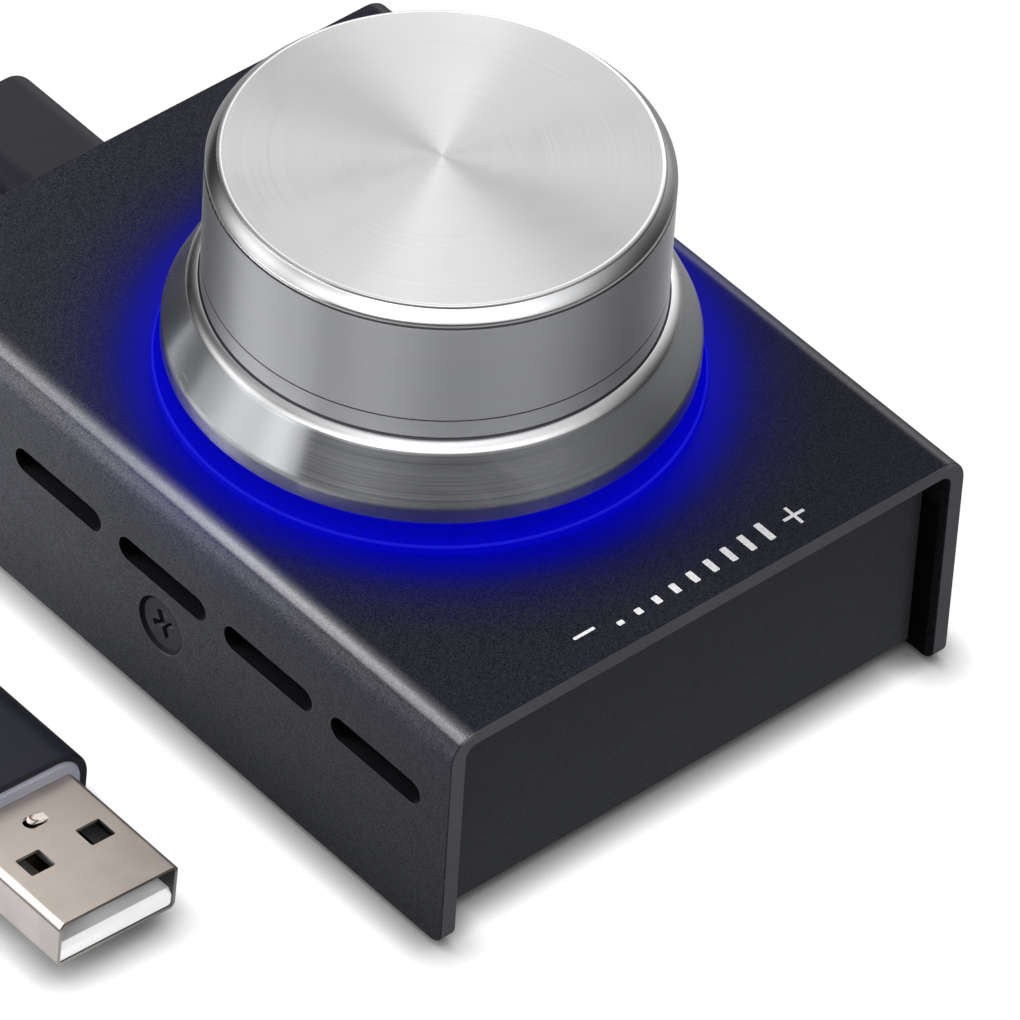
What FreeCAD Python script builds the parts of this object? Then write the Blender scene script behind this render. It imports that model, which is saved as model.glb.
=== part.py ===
import FreeCAD, Part
import math
import os

from FreeCAD import Vector

# USB volume control knob, in millimetres. +Z is up, the long side of the case runs along Y and its
# front looks towards -Y. The origin is on the table, under the middle of the case.

# ---- driving dimensions ----
case_width = 54.0
case_length = 71.2
plate_top = 22.8            # top face of the case above the table
wall_low = 0.5              # lower edge of the side walls
foot_height = 0.8
sheet = 1.5                 # cover sheet
cover_bend = 2.6            # outer radius of the cover's bends
tray_sheet = 1.2
end_recess = 2.9            # the end plates stand this far inside the cover's ends
knob_y = -1.2               # axis of the knob and the encoder
knob_gap = 2.5              # from the case to the knob's rim
knob_height = 19.65
knob_radius = 18.74
flange_radius = 21.74
press_travel = 0.5
cable_diameter = 3.8
coil_radius = 21.0          # mean radius of the coiled turns

# ---- levels and places that several pieces share ----
plate_under = plate_top - sheet
half_width = case_width / 2
half_length = case_length / 2
end_face = half_length - end_recess
axis = Vector(0, knob_y, 0)
middle_y = -0.6             # middle of the row of slots, and the screws under it
screw_z = 9.07
slot_z = 14.25
slot_length = 10.85
slot_height = 2.3
slot_pitch = 13.1
slot_count = 5
lamp_ring = 14.0
lamp_count = 4
wire_radius = cable_diameter / 2
over = 1.0                  # cutting tools run this far past a surface


# ---- helpers ----
def block(x, y, z):
    """A box from three (low, high) pairs."""
    return Part.makeBox(x[1] - x[0], y[1] - y[0], z[1] - z[0], Vector(x[0], y[0], z[0]))


def centred(x, y, width, depth, low, high):
    """An upright box round a point."""
    return block((x - width / 2, x + width / 2), (y - depth / 2, y + depth / 2), (low, high))


def disc(radius, low, high, place=axis):
    """An upright cylinder between two heights."""
    return Part.makeCylinder(radius, high - low, Vector(place.x, place.y, low))


def cone(radius_low, radius_high, low, high, place=axis):
    return Part.makeCone(radius_low, radius_high, high - low, Vector(place.x, place.y, low))


def ring_points(radius, count, first_angle):
    """Points evenly spaced on a circle about the knob axis."""
    points = []
    for i in range(count):
        turn = math.radians(first_angle + 360 * i / count)
        points.append(axis + Vector(radius * math.cos(turn), radius * math.sin(turn), 0))
    return points


def line(a, b):
    return Part.makeLine(a, b)


def arc(centre, radius, start, end, place):
    """An arc in a (u, w) plane, angles in degrees, laid in space by place(u, w)."""
    points = []
    for angle in (start, (start + end) / 2, end):
        turn = math.radians(angle)
        points.append(place(centre[0] + radius * math.cos(turn), centre[1] + radius * math.sin(turn)))
    return Part.Arc(*points).toShape()


def outline(corners, place):
    """A closed face round (u, w, radius) corners, each rounded with its own radius."""
    edges = []
    ends = []
    count = len(corners)
    for i, (u, w, radius) in enumerate(corners):
        here = Vector(u, w, 0)
        before = Vector(*corners[i - 1][:2], 0) - here
        after = Vector(*corners[(i + 1) % count][:2], 0) - here
        if radius == 0:
            ends.append((here, here))
            continue
        before.normalize()
        after.normalize()
        half = before.getAngle(after) / 2
        reach = radius / math.tan(half)
        middle = before + after
        middle.normalize()
        centre = here + middle * (radius / math.sin(half))
        start = here + before * reach
        end = here + after * reach
        crown = centre - middle * radius
        edges.append(Part.Arc(*[place(p.x, p.y) for p in (start, crown, end)]).toShape())
        ends.append((start, end))
    for i in range(count):
        a = ends[i][1]
        b = ends[(i + 1) % count][0]
        if (a - b).Length > 1e-6:
            edges.append(line(place(a.x, a.y), place(b.x, b.y)))
    return Part.Face(Part.Wire(Part.__sortEdges__(edges)))


def rectangle(u, w, width, height, radius):
    """The four corners of a rounded rectangle round (u, w)."""
    corners = []
    for a, b in ((-1, -1), (1, -1), (1, 1), (-1, 1)):
        corners.append((u + a * width / 2, w + b * height / 2, radius))
    return corners


def bar_y(x, z, width, height, radius, y0, y1):
    """A bar along Y with a rounded rectangle for its section."""
    face = outline(rectangle(x, z, width, height, radius), lambda u, w: Vector(u, y0, w))
    return face.extrude(Vector(0, y1 - y0, 0))


def channel(half, leg_end, back, thickness, bend, place, sweep):
    """A bent sheet: legs at u = -half and half from w = leg_end, joined by the back at w = back."""
    inner = max(0, bend - thickness)
    skin = math.copysign(thickness, back - leg_end)
    corners = [
        (-half, leg_end, 0),
        (-half, back, bend),
        (half, back, bend),
        (half, leg_end, 0),
        (half - thickness, leg_end, 0),
        (half - thickness, back - skin, inner),
        (thickness - half, back - skin, inner),
        (thickness - half, leg_end, 0),
    ]
    return outline(corners, place).extrude(sweep)


def turned(edges):
    """A solid turned about the knob axis from edges that close an (r, z) outline."""
    solid = Part.Face(Part.Wire(edges)).revolve(Vector(0, 0, 0), Vector(0, 0, 1), 360)
    solid.translate(axis)
    return solid


def flatted(radius, flat, low, high, both_sides):
    """An upright shaft on the knob axis with a flat at +Y, or at both +Y and -Y."""
    far = flat if both_sides else radius
    keep = block((-radius, radius), (knob_y - far, knob_y + flat), (low, high))
    return disc(radius, low, high).common(keep)


def group(solids):
    return Part.makeCompound(solids)


def edges_on(shape, y_values):
    """The edges that lie in one of some planes square to Y."""
    found = []
    for edge in shape.Edges:
        ys = [vertex.Point.y for vertex in edge.Vertexes] + [edge.CenterOfMass.y]
        if any(max(abs(y - plane) for y in ys) < 1e-6 for plane in y_values):
            found.append(edge)
    return found


# ---- case ----
bushing_hole = 3.65
lamp_hole = 1.7


def make_top_cover():
    """Top plate and two side walls bent from one sheet, open at the ends and below."""
    corner_rounding = 1.3
    edge_ease = 0.12
    sink_radius = 2.7
    screw_hole = 1.4
    ends = (-half_length, half_length)

    def is_low(edge):
        return edge.BoundBox.ZMax < wall_low + 0.1

    cover = channel(half_width, wall_low, plate_top, sheet, cover_bend,
                    lambda u, w: Vector(u, -half_length, w), Vector(0, case_length, 0))
    corners = [edge for edge in edges_on(cover, ends) if is_low(edge)]
    cover = cover.makeFillet(corner_rounding, corners)
    rims = edges_on(cover, ends)
    rims += [edge for edge in cover.Edges if is_low(edge) and edge.Length > 2 * sheet]
    cover = cover.makeFillet(edge_ease, rims)
    tools = [disc(bushing_hole, plate_under - over, plate_top + over)]
    for point in ring_points(lamp_ring, lamp_count, 45):
        tools.append(disc(lamp_hole, plate_under - over, plate_top + over, point))
    for i in range(slot_count):
        y = middle_y + slot_pitch * (i - (slot_count - 1) / 2)
        slot = outline(rectangle(y, slot_z, slot_length, slot_height, slot_height * 0.4999),
                       lambda v, w: Vector(-case_width, v, w))
        tools.append(slot.extrude(Vector(2 * case_width, 0, 0)))
    for side in (-1, 1):
        face = Vector(side * half_width, middle_y, screw_z)
        inward = Vector(-side, 0, 0)
        tools.append(Part.makeCylinder(screw_hole, sheet + over, face, inward))
        tools.append(Part.makeCone(sink_radius, screw_hole, sink_radius - screw_hole, face, inward))
    return cover.cut(group(tools))


def make_base_tray():
    """Bottom with two recessed end plates, and a screw tab bent up at each side."""
    side_gap = 0.1
    edge_radius = 0.4
    plate_corner = 1.5
    tab_half = 7.0
    tab_bend = 1.8
    tab_top = slot_z - slot_height / 2 - 0.5
    tap_radius = 1.3
    socket_window = 0.6
    low = foot_height
    top = plate_under - 0.15
    half = half_width - sheet - side_gap
    across = Vector(1, 0, 0)
    tray = channel(end_face, top, low, tray_sheet, edge_radius,
                   lambda v, w: Vector(-half, v, w), across * (2 * half))
    front_view = [(-half, low, 0), (half, low, 0), (half, top, plate_corner), (-half, top, plate_corner)]
    front_view = outline(front_view, lambda u, w: Vector(u, -half_length, w))
    tray = tray.common(front_view.extrude(Vector(0, case_length, 0)))
    tab_y = (middle_y - tab_half, middle_y + tab_half)
    for side in (-1, 1):
        x = sorted((side * half, side * (half - tab_bend)))
        tray = tray.cut(block(x, tab_y, (low - over, low + tab_bend)))
    tabs = channel(half, tab_top, low, tray_sheet, tab_bend,
                   lambda u, w: Vector(u, tab_y[0], w), Vector(0, 2 * tab_half, 0))
    tray = tray.fuse(tabs).removeSplitter()
    taps = Part.makeCylinder(tap_radius, case_width, Vector(-half_width, middle_y, screw_z), across)
    window = bar_y(socket_x, socket_z, socket_width + socket_window, socket_height + socket_window,
                   socket_window, end_face - tray_sheet - over, end_face + over)
    return tray.cut(taps).cut(window)


def make_cover_screws():
    """Two M2.5 countersunk screws with a cross recess."""
    head_radius = 2.35
    core_radius = 1.22
    sunk = 0.3
    length = 6.0
    recess_depth = 0.9
    arm_length = 2.7
    arm_width = 0.62
    leans = (65, -25)
    screws = []
    for side in (-1, 1):
        face = Vector(side * (half_width - sunk), middle_y, screw_z)
        inward = Vector(-side, 0, 0)
        screw = Part.makeCone(head_radius, core_radius, head_radius - core_radius, face, inward)
        screw = screw.fuse(Part.makeCylinder(core_radius, length, face, inward)).removeSplitter()
        x = sorted((face.x, face.x - side * recess_depth))
        for lean in leans:
            arm = block(x, (-arm_length / 2, arm_length / 2), (-arm_width / 2, arm_width / 2))
            arm.rotate(Vector(0, 0, 0), Vector(1, 0, 0), lean)
            arm.translate(Vector(0, middle_y, screw_z))
            screw = screw.cut(arm)
        screws.append(screw)
    return group(screws)


def make_rubber_feet():
    """Four stick-on feet with an eased lower edge."""
    radius = 4.0
    ease = 0.2
    feet = []
    for x in (-18.5, 18.5):
        for y in (-25.0, 25.0):
            place = Vector(x, y, 0)
            foot = cone(radius - ease, radius, 0, ease, place)
            feet.append(foot.fuse(disc(radius, ease, foot_height, place)).removeSplitter())
    return group(feet)


# ---- encoder, hung from the plate by its bushing ----
body_height = 7.0           # from the board to the underside of the plate
board_thick = 1.6
board_top = plate_under - body_height
board_under = board_top - board_thick
switch_top = board_top + 2.0
room_top = board_top + 6.0  # top of the rotor's room
body_width = 11.7
body_depth = 12.0
leg_thick = 0.5
shaft_radius = 3.0
shaft_flat = 1.5            # the knob's flat, from the axis
shaft_top = plate_under + 18.0
bushing_radius = 3.5
bushing_top = plate_under + 6.0
neck_radius = 2.0
neck_flat = 1.5
moving_gap = 0.3            # between pieces that turn or slide past each other
shaft_low = switch_top + 0.6
rotor_low = switch_top + 0.9
rotor_high = room_top - moving_gap
plunger_radius = 2.25
plunger_top = shaft_low - 0.05
plunger_low = plunger_top - 1.35
cup_radius = plunger_radius + moving_gap
cup_floor = board_top + 0.6
washer_thick = 0.5
nut_low = plate_top + washer_thick
pin_rows = ((-1, (-2.5, 0.0, 2.5)), (1, (-2.5, 2.5)))
pin_reach = body_depth / 2 + 1.05
pin_thick = 0.3
lug_width = 2.0


def make_encoder_frame():
    """Cast plate with the threaded bushing, and two legs that hook through the board."""
    leg_width = 8.0
    lug_end = board_under - 0.6
    bore = shaft_radius + 0.04
    pitch = 0.75
    thread_depth = 0.4
    tip = 0.3
    frame = centred(0, knob_y, body_width + 2 * leg_thick, body_depth, room_top, plate_under)
    for side in (-1, 1):
        x = side * (body_width + leg_thick) / 2
        frame = frame.fuse(centred(x, knob_y, leg_thick, leg_width, board_top, room_top))
        frame = frame.fuse(centred(x, knob_y, leg_thick, lug_width, lug_end, board_top))
    corners = [(0, plate_under), (bushing_radius, plate_under)]
    for i in range(int((bushing_top - plate_under - 2 * tip) / pitch)):
        low = plate_under + tip + i * pitch
        corners += [(bushing_radius, low), (bushing_radius - thread_depth, low + pitch / 2)]
    corners += [(bushing_radius, bushing_top - tip), (bushing_radius - tip, bushing_top)]
    corners += [(0, bushing_top), (0, plate_under)]
    points = [Vector(r, 0, z) for r, z in corners]
    bushing = turned(Part.makePolygon(points).Edges)
    return frame.fuse(bushing).cut(disc(bore, room_top - over, bushing_top + over)).removeSplitter()


def make_encoder_housing():
    """Plastic body with a round room for the rotor and a hole below it for the plunger."""
    room_radius = 4.9
    housing = centred(0, knob_y, body_width, body_depth, switch_top, room_top)
    housing = housing.cut(disc(room_radius, rotor_low - moving_gap, room_top + over))
    return housing.cut(disc(cup_radius, switch_top - over, room_top))


def make_encoder_rotor():
    """Detent disc: turned by the shaft's two flats, which slide in it when the knob is pressed."""
    radius = 4.6
    hub_radius = 3.5
    disc_top = rotor_low + 1.6
    detents = 20
    notch = 0.25
    clearance = 0.05
    rotor = disc(radius, rotor_low, disc_top).fuse(disc(hub_radius, disc_top, rotor_high))
    low = rotor_low - over
    notches = [disc(notch, low, disc_top + notch, point) for point in ring_points(radius, detents, 0)]
    bore = flatted(neck_radius + clearance, neck_flat + clearance, low, rotor_high + over, True)
    return rotor.removeSplitter().cut(group(notches)).cut(bore)


def make_encoder_shaft():
    """6 mm shaft with a D flat for the knob and a neck with two flats through the rotor."""
    shoulder = room_top + 0.6
    flat_start = bushing_top + 1.7
    tip = 0.4
    shaft = flatted(neck_radius, neck_flat, shaft_low, shoulder, True)
    shaft = shaft.fuse(disc(shaft_radius, shoulder, flat_start))
    shaft = shaft.fuse(flatted(shaft_radius, shaft_flat, flat_start, shaft_top - tip, False))
    end = cone(shaft_radius, shaft_radius - tip, shaft_top - tip, shaft_top)
    end = end.common(flatted(shaft_radius, shaft_flat, shaft_top - tip, shaft_top, False))
    return shaft.fuse(end).removeSplitter()


def make_encoder_washer():
    radius = 5.4
    bore = disc(bushing_radius + 0.1, plate_top - over, nut_low + over)
    return disc(radius, plate_top, nut_low).cut(bore)


def make_encoder_nut():
    """M7 hexagon nut with chamfered corners."""
    high = nut_low + 2.0
    across_flats = 10.0
    corner = across_flats / math.sqrt(3)
    points = [point + Vector(0, 0, nut_low) for point in ring_points(corner, 6, 0)]
    nut = Part.Face(Part.makePolygon(points + points[:1])).extrude(Vector(0, 0, high - nut_low))
    chamfer = cone(corner + 1.3, corner - 0.5, nut_low, high)
    return nut.common(chamfer).cut(disc(bushing_radius + 0.02, nut_low - over, high + over))


def make_encoder_pins():
    """Five terminals that leave the switch housing and turn down through the board."""
    width = 0.8
    shelf = board_top + 0.7
    tail = board_under - 1.0
    pins = []
    for side, places in pin_rows:
        root = knob_y + side * body_depth / 2
        end = knob_y + side * pin_reach
        for x in places:
            sides = (x - width / 2, x + width / 2)
            arm = block(sides, sorted((root, end)), (shelf, shelf + pin_thick))
            leg = block(sides, sorted((end, end - side * pin_thick)), (tail, shelf))
            pins.append(arm.fuse(leg).removeSplitter())
    return group(pins)


def make_switch_housing():
    cup = centred(0, knob_y, body_width, body_depth, board_top, switch_top)
    return cup.cut(disc(cup_radius, cup_floor, switch_top + over))


def make_switch_plunger():
    return disc(plunger_radius, plunger_low, plunger_top)


def make_switch_dome():
    """Thin snap dome in the cup, just clear of the plunger."""
    thick = 0.1
    rise = plunger_low - 0.05 - cup_floor
    sphere = (plunger_radius ** 2 + rise ** 2) / (2 * rise)
    centre = axis + Vector(0, 0, cup_floor + rise - sphere)
    dome = Part.makeSphere(sphere, centre).cut(Part.makeSphere(sphere - thick, centre))
    return dome.common(disc(plunger_radius + over, cup_floor, cup_floor + rise + over))


# ---- board ----
board_half = 21.0
board_front = -27.0
board_back = 31.2
socket_x = -1.9
socket_width = 7.7
socket_height = 3.9
socket_front = 23.5
socket_z = board_under - socket_height / 2
lamp_leg_gap = 1.27


def lamp_legs(lamp):
    """The two leg positions of a lamp."""
    return [lamp + Vector(side * lamp_leg_gap, 0, 0) for side in (-1, 1)]


def make_main_board():
    corner = 1.5
    pin_hole = 0.6
    leg_hole = 0.45
    lug_slot = 0.3
    middle = (board_front + board_back) / 2
    corners = rectangle(0, middle, 2 * board_half, board_back - board_front, corner)
    board = outline(corners, lambda u, v: Vector(u, v, board_under)).extrude(Vector(0, 0, board_thick))
    low = board_under - over
    high = board_top + over
    tools = []
    for side, places in pin_rows:
        y = knob_y + side * (pin_reach - pin_thick / 2)
        tools += [disc(pin_hole, low, high, Vector(x, y, 0)) for x in places]
    for lamp in ring_points(lamp_ring, lamp_count, 45):
        tools += [disc(leg_hole, low, high, leg) for leg in lamp_legs(lamp)]
    for side in (-1, 1):
        x = side * (body_width + leg_thick) / 2
        tools.append(centred(x, knob_y, leg_thick + lug_slot, lug_width + lug_slot, low, high))
    return board.cut(group(tools))


def make_controller_chip():
    """Small-outline chip with eight leads a side and a dimple at lead one."""
    place = Vector(-9.0, -18.0, 0)
    length = 10.0
    width = 3.9
    height = 1.5
    pitch = 1.27
    lead_width = 0.4
    lead_reach = 1.05
    leads = 8
    standoff = 0.1
    dimple = 0.45
    top = board_top + height
    mark = place + Vector(2 * dimple - length / 2, 2 * dimple - width / 2, 0)
    chip = centred(place.x, place.y, length, width, board_top + standoff, top)
    chip = chip.cut(disc(dimple, top - standoff, top + over, mark))
    for side in (-1, 1):
        for i in range(leads):
            x = place.x + pitch * (i - (leads - 1) / 2)
            y = place.y + side * (width + lead_reach) / 2
            chip = chip.fuse(centred(x, y, lead_width, lead_reach, board_top, board_top + lead_width / 2))
    return chip.removeSplitter()


def make_crystal():
    """Low metal can with round ends."""
    place = Vector(9.0, -18.0, board_top)
    length = 11.2
    width = 4.7
    height = 3.4
    corners = rectangle(place.x, place.y, length, width, width * 0.49)
    return outline(corners, lambda u, v: Vector(u, v, place.z)).extrude(Vector(0, 0, height))


def make_board_capacitors():
    """Two surface-mount cans on square bases."""
    base_side = 5.2
    base_high = board_top + 0.8
    can_radius = 2.5
    can_high = board_top + 5.4
    cans = []
    for y in (13.0, 21.0):
        place = Vector(15.0, y, 0)
        base = centred(place.x, place.y, base_side, base_side, board_top, base_high)
        cans.append(base.fuse(disc(can_radius, base_high, can_high, place)).removeSplitter())
    return group(cans)


def make_board_resistors():
    """Two rows of four chip resistors."""
    first = Vector(-17.0, 14.0, 0)
    columns = 4
    column_step = 2.6
    row_step = 5.0
    width = 1.25
    length = 2.0
    top = board_top + 0.5
    resistors = []
    for row in range(2):
        y = first.y + row_step * row
        for column in range(columns):
            resistors.append(centred(first.x + column_step * column, y, width, length, board_top, top))
    return group(resistors)


def make_indicator_leds():
    """3 mm lamps standing on the board under the holes in the cover."""
    radius = 1.5
    flange = 0.4
    flange_low = board_top + 1.0
    flange_high = flange_low + 0.8
    crown = plate_under - 0.15 - radius
    leg = 0.5
    leg_end = board_under - 1.0
    lamps = []
    for point in ring_points(lamp_ring, lamp_count, 45):
        lamp = disc(radius, flange_low, crown, point)
        lamp = lamp.fuse(disc(radius + flange, flange_low, flange_high, point))
        lamp = lamp.fuse(Part.makeSphere(radius, point + Vector(0, 0, crown)))
        for place in lamp_legs(point):
            lamp = lamp.fuse(centred(place.x, place.y, leg, leg, leg_end, flange_low))
        lamps.append(lamp.removeSplitter())
    return group(lamps)


socket_wall = 0.35
socket_inner_width = socket_width - 2 * socket_wall
socket_inner_height = socket_height - 2 * socket_wall
socket_block_end = socket_front + 1.7


def make_usb_socket_shell():
    """Mini socket shell under the board, open at the rear end plate."""
    shell = bar_y(socket_x, socket_z, socket_width, socket_height, 0.6, socket_front, end_face)
    return shell.cut(bar_y(socket_x, socket_z, socket_inner_width, socket_inner_height, 0.3,
                           socket_front - over, end_face + over))


def make_usb_socket_tongue():
    """Insulator that closes the back of the socket and carries the contact tongue."""
    width = 4.8
    thick = 0.8
    end = end_face - 1.5
    back = bar_y(socket_x, socket_z, socket_inner_width, socket_inner_height, 0.3,
                 socket_front, socket_block_end)
    tongue = bar_y(socket_x, socket_z, width, thick, thick / 4, socket_block_end, end)
    return back.fuse(tongue).removeSplitter()


# ---- light guide and knob ----
cavity_radius = 16.0
knob_low = plate_top + knob_gap
knob_top = knob_low + knob_height
cavity_top = knob_top - 5.0


def make_light_guide():
    """Frosted ring on the case, a little wider than the knob, with an eased top edge."""
    outer = 22.4
    inner = 8.0
    thick = 0.8
    ease = 0.2
    top = plate_top + thick
    guide = disc(outer, plate_top, top - ease).fuse(cone(outer, outer - ease, top - ease, top))
    return guide.removeSplitter().cut(disc(inner, plate_top - over, top + over))


def make_knob_shell():
    """Turned knob: rounded top edge, two scribed lines, a fillet, a bead, the skirt and its rim."""
    edge_radius = 1.35
    groove = 0.14
    fillet = 0.5
    bead = 0.66
    bead_radius = knob_radius + fillet
    skirt_top = 19.83
    skirt_low = knob_low + 1.87
    fillet_z = knob_low + 6.77
    bead_z = fillet_z - fillet - bead
    lower_line = knob_low + 8.45
    upper_line = knob_top - edge_radius - groove
    rim_ease = 0.3
    steepness = math.degrees(math.atan2(bead_z - skirt_low, flange_radius - skirt_top))
    bead_turn = 90 - steepness
    turn = math.radians(bead_turn)
    bead_end = (bead_radius + bead * math.cos(turn), bead_z + bead * math.sin(turn))

    def here(r, z):
        return Vector(r, 0, z)

    def chain(*points):
        return [line(here(*a), here(*b)) for a, b in zip(points, points[1:])]

    edges = chain((0, cavity_top), (0, knob_top), (knob_radius - edge_radius, knob_top))
    edges.append(arc((knob_radius - edge_radius, knob_top - edge_radius), edge_radius, 90, 0, here))
    edges += chain((knob_radius, upper_line + groove), (knob_radius - groove, upper_line),
                   (knob_radius, upper_line - groove), (knob_radius, lower_line + groove),
                   (knob_radius - groove, lower_line), (knob_radius, lower_line - groove),
                   (knob_radius, fillet_z))
    edges.append(arc((bead_radius, fillet_z), fillet, 180, 270, here))
    edges.append(arc((bead_radius, bead_z), bead, 90, bead_turn, here))
    edges += chain(bead_end, (flange_radius, skirt_low), (flange_radius, knob_low + rim_ease),
                   (flange_radius - rim_ease, knob_low), (cavity_radius, knob_low),
                   (cavity_radius, cavity_top), (0, cavity_top))
    return turned(edges)


def make_knob_hub():
    """Plastic insert pressed into the knob, with a boss and a blind D bore for the shaft."""
    clearance = 0.02
    plate = 2.5
    boss_radius = 6.5
    boss_low = bushing_top + press_travel + 0.9
    round_end = bushing_top + 1.75
    hub = disc(cavity_radius - 0.05, cavity_top - plate, cavity_top)
    hub = hub.fuse(disc(boss_radius, boss_low, cavity_top - plate)).removeSplitter()
    bore = shaft_radius + clearance
    hub = hub.cut(disc(bore, boss_low - over, round_end))
    return hub.cut(flatted(bore, shaft_flat + clearance, boss_low - over, shaft_top + 0.05, False))


# ---- plugs ----
relief_radius = 3.55        # strain relief beside the plug's body, and where the cable leaves it
relief_end = 2.35
relief_root = 0.5           # how far a strain relief starts inside the body


def strain_relief(x, z, y_start, y_end):
    """Tapered sleeve along +Y with raised ribs."""
    rib_pitch = 2.2
    rib_share = 0.55
    rib_height = 0.5
    length = y_end - y_start
    way = Vector(0, 1, 0)
    sleeve = Part.makeCone(relief_radius - rib_height, relief_end, length, Vector(x, y_start, z), way)
    count = int(length / rib_pitch)
    step = length / count
    for i in range(count - 1):
        rib = relief_radius + (relief_end - relief_radius) * (i + 0.5) / count
        root = Vector(x, y_start + i * step, z)
        sleeve = sleeve.fuse(Part.makeCylinder(rib, step * rib_share, root, way))
    return sleeve


rear_body_start = end_face + 0.7
rear_body_end = 54.4
rear_relief_end = 66.5


def make_rear_plug_shell():
    """Metal tip of the mini plug, pushed into the socket round its tongue."""
    wall = 0.3
    width = 6.8
    height = 3.0
    start = socket_block_end + 0.4
    outer = bar_y(socket_x, socket_z, width, height, 0.4, start, rear_body_start)
    return outer.cut(bar_y(socket_x, socket_z, width - 2 * wall, height - 2 * wall, 0.15,
                           start - over, rear_body_start + over))


def make_rear_plug_overmold():
    width = 10.3
    height = 8.2
    corner = 2.0
    end_rounding = 1.4
    body = bar_y(socket_x, socket_z, width, height, corner, rear_body_start, rear_body_end)
    body = body.makeFillet(end_rounding, edges_on(body, (rear_body_start, rear_body_end)))
    relief = strain_relief(socket_x, socket_z, rear_body_end - relief_root, rear_relief_end)
    return body.fuse(relief).removeSplitter()


plug_x = -47.25             # the USB-A plug lies beside the case, its mouth to the front
plug_roll = 3.0             # degrees that it leans towards the case
plug_mouth = -20.1
shell_width = 12.0
shell_height = 4.5
shell_wall = 0.3
shell_corner = 0.55
shell_end = 3.0
jacket_width = 16.0
jacket_height = 8.0
jacket_corner = 3.2
jacket_front = -6.65
jacket_back = 18.0
jacket_relief_end = 29.0
core_front = jacket_front - 0.25
core_back = 15.5
core_width = 14.3
core_height = 7.1
core_corner = 2.6
lean = math.radians(plug_roll)
plug_z = (jacket_corner + (jacket_height / 2 - jacket_corner) * math.cos(lean)
          + (jacket_width / 2 - jacket_corner) * math.sin(lean))
shell_low = -shell_height / 2
tongue_top = shell_low + 1.78


def laid(shape):
    """Lays a piece that was made round the Y axis where the plug lies."""
    shape.rotate(Vector(0, 0, 0), Vector(0, 1, 0), plug_roll)
    shape.translate(Vector(plug_x, 0, plug_z))
    return shape


def shell_room(start, end):
    """The inside of the USB-A shell."""
    width = shell_width - 2 * shell_wall
    height = shell_height - 2 * shell_wall
    return bar_y(0, 0, width, height, shell_corner - shell_wall, start, end)


def make_a_plug_shell():
    """Tube of bent sheet with two windows above and below and a lanced tab on top."""
    window_x = 3.05
    window_width = 2.42
    window_length = 2.18
    window_y = plug_mouth + 6.7
    tab_y = plug_mouth + 10.5
    tab_width = 2.2
    tab_length = 1.4
    slit = 0.3
    tab_tilt = 14.0
    top = -shell_low
    shell = bar_y(0, 0, shell_width, shell_height, shell_corner, plug_mouth, shell_end)
    shell = shell.cut(shell_room(plug_mouth - over, shell_end + over))
    through = Vector(0, 0, shell_height + 2 * over)
    for side in (-1, 1):
        corners = rectangle(side * window_x, window_y, window_width, window_length, 0.2)
        shell = shell.cut(outline(corners, lambda u, v: Vector(u, v, shell_low - over)).extrude(through))
    hole = rectangle(0, tab_y, tab_width, tab_length, tab_length * 0.49)
    shell = shell.cut(outline(hole, lambda u, v: Vector(u, v, 0)).extrude(through))
    root = tab_width / 2
    tab = rectangle((slit + over) / 2, tab_y, tab_width - slit + over, tab_length - 2 * slit, 0.35)
    tab = outline(tab, lambda u, v: Vector(u, v, top - shell_wall)).extrude(Vector(0, 0, shell_wall))
    tab.rotate(Vector(root, 0, top - shell_wall), Vector(0, 1, 0), tab_tilt)
    keep = block((-tab_width, root), (tab_y - over, tab_y + over), (top - shell_wall, top + over))
    return laid(shell.fuse(tab.common(keep)).removeSplitter())


def make_a_plug_tongue():
    """White insulator in the lower half of the mouth, bevelled at its front edge."""
    bevel = 0.45
    front = plug_mouth + 0.15
    back = shell_end - 0.5
    half = shell_width / 2 - shell_wall
    low = shell_low + shell_wall
    profile = [(front, low), (back, low), (back, tongue_top)]
    profile += [(front + bevel, tongue_top), (front, tongue_top - bevel)]
    points = [Vector(-half, y, z) for y, z in profile + profile[:1]]
    tongue = Part.Face(Part.makePolygon(points)).extrude(Vector(2 * half, 0, 0))
    return laid(tongue.common(shell_room(plug_mouth, shell_end)))


def make_a_plug_contacts():
    """Four strips on the tongue; the outer two reach nearer to the mouth."""
    width = 1.0
    thick = 0.12
    strips = []
    for x, setback in ((-3.5, 2.2), (-1.0, 3.2), (1.0, 3.2), (3.5, 2.2)):
        strips.append(block((x - width / 2, x + width / 2), (plug_mouth + setback, shell_end - 1.0),
                            (tongue_top, tongue_top + thick)))
    return laid(group(strips))


def make_a_plug_core():
    """Grey moulding between the shell and the jacket, standing a little out of the jacket."""
    rounding = 0.45
    core = bar_y(0, 0, core_width, core_height, core_corner, core_front, core_back)
    core = core.makeFillet(rounding, edges_on(core, (core_front,)))
    pocket = bar_y(0, 0, shell_width, shell_height, shell_corner, core_front - over, shell_end)
    return laid(core.cut(pocket))


def make_a_plug_jacket():
    """Outer moulding with the strain relief at its back."""
    front_rounding = 0.3
    back_rounding = 1.1
    jacket = bar_y(0, 0, jacket_width, jacket_height, jacket_corner, jacket_front, jacket_back)
    jacket = jacket.makeFillet(back_rounding, edges_on(jacket, (jacket_back,)))
    jacket = jacket.makeFillet(front_rounding, edges_on(jacket, (jacket_front,)))
    jacket = jacket.cut(bar_y(0, 0, core_width, core_height, core_corner, jacket_front - over, core_back))
    relief = strain_relief(0, 0, jacket_back - relief_root, jacket_relief_end)
    return laid(jacket.fuse(relief).removeSplitter())


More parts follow.
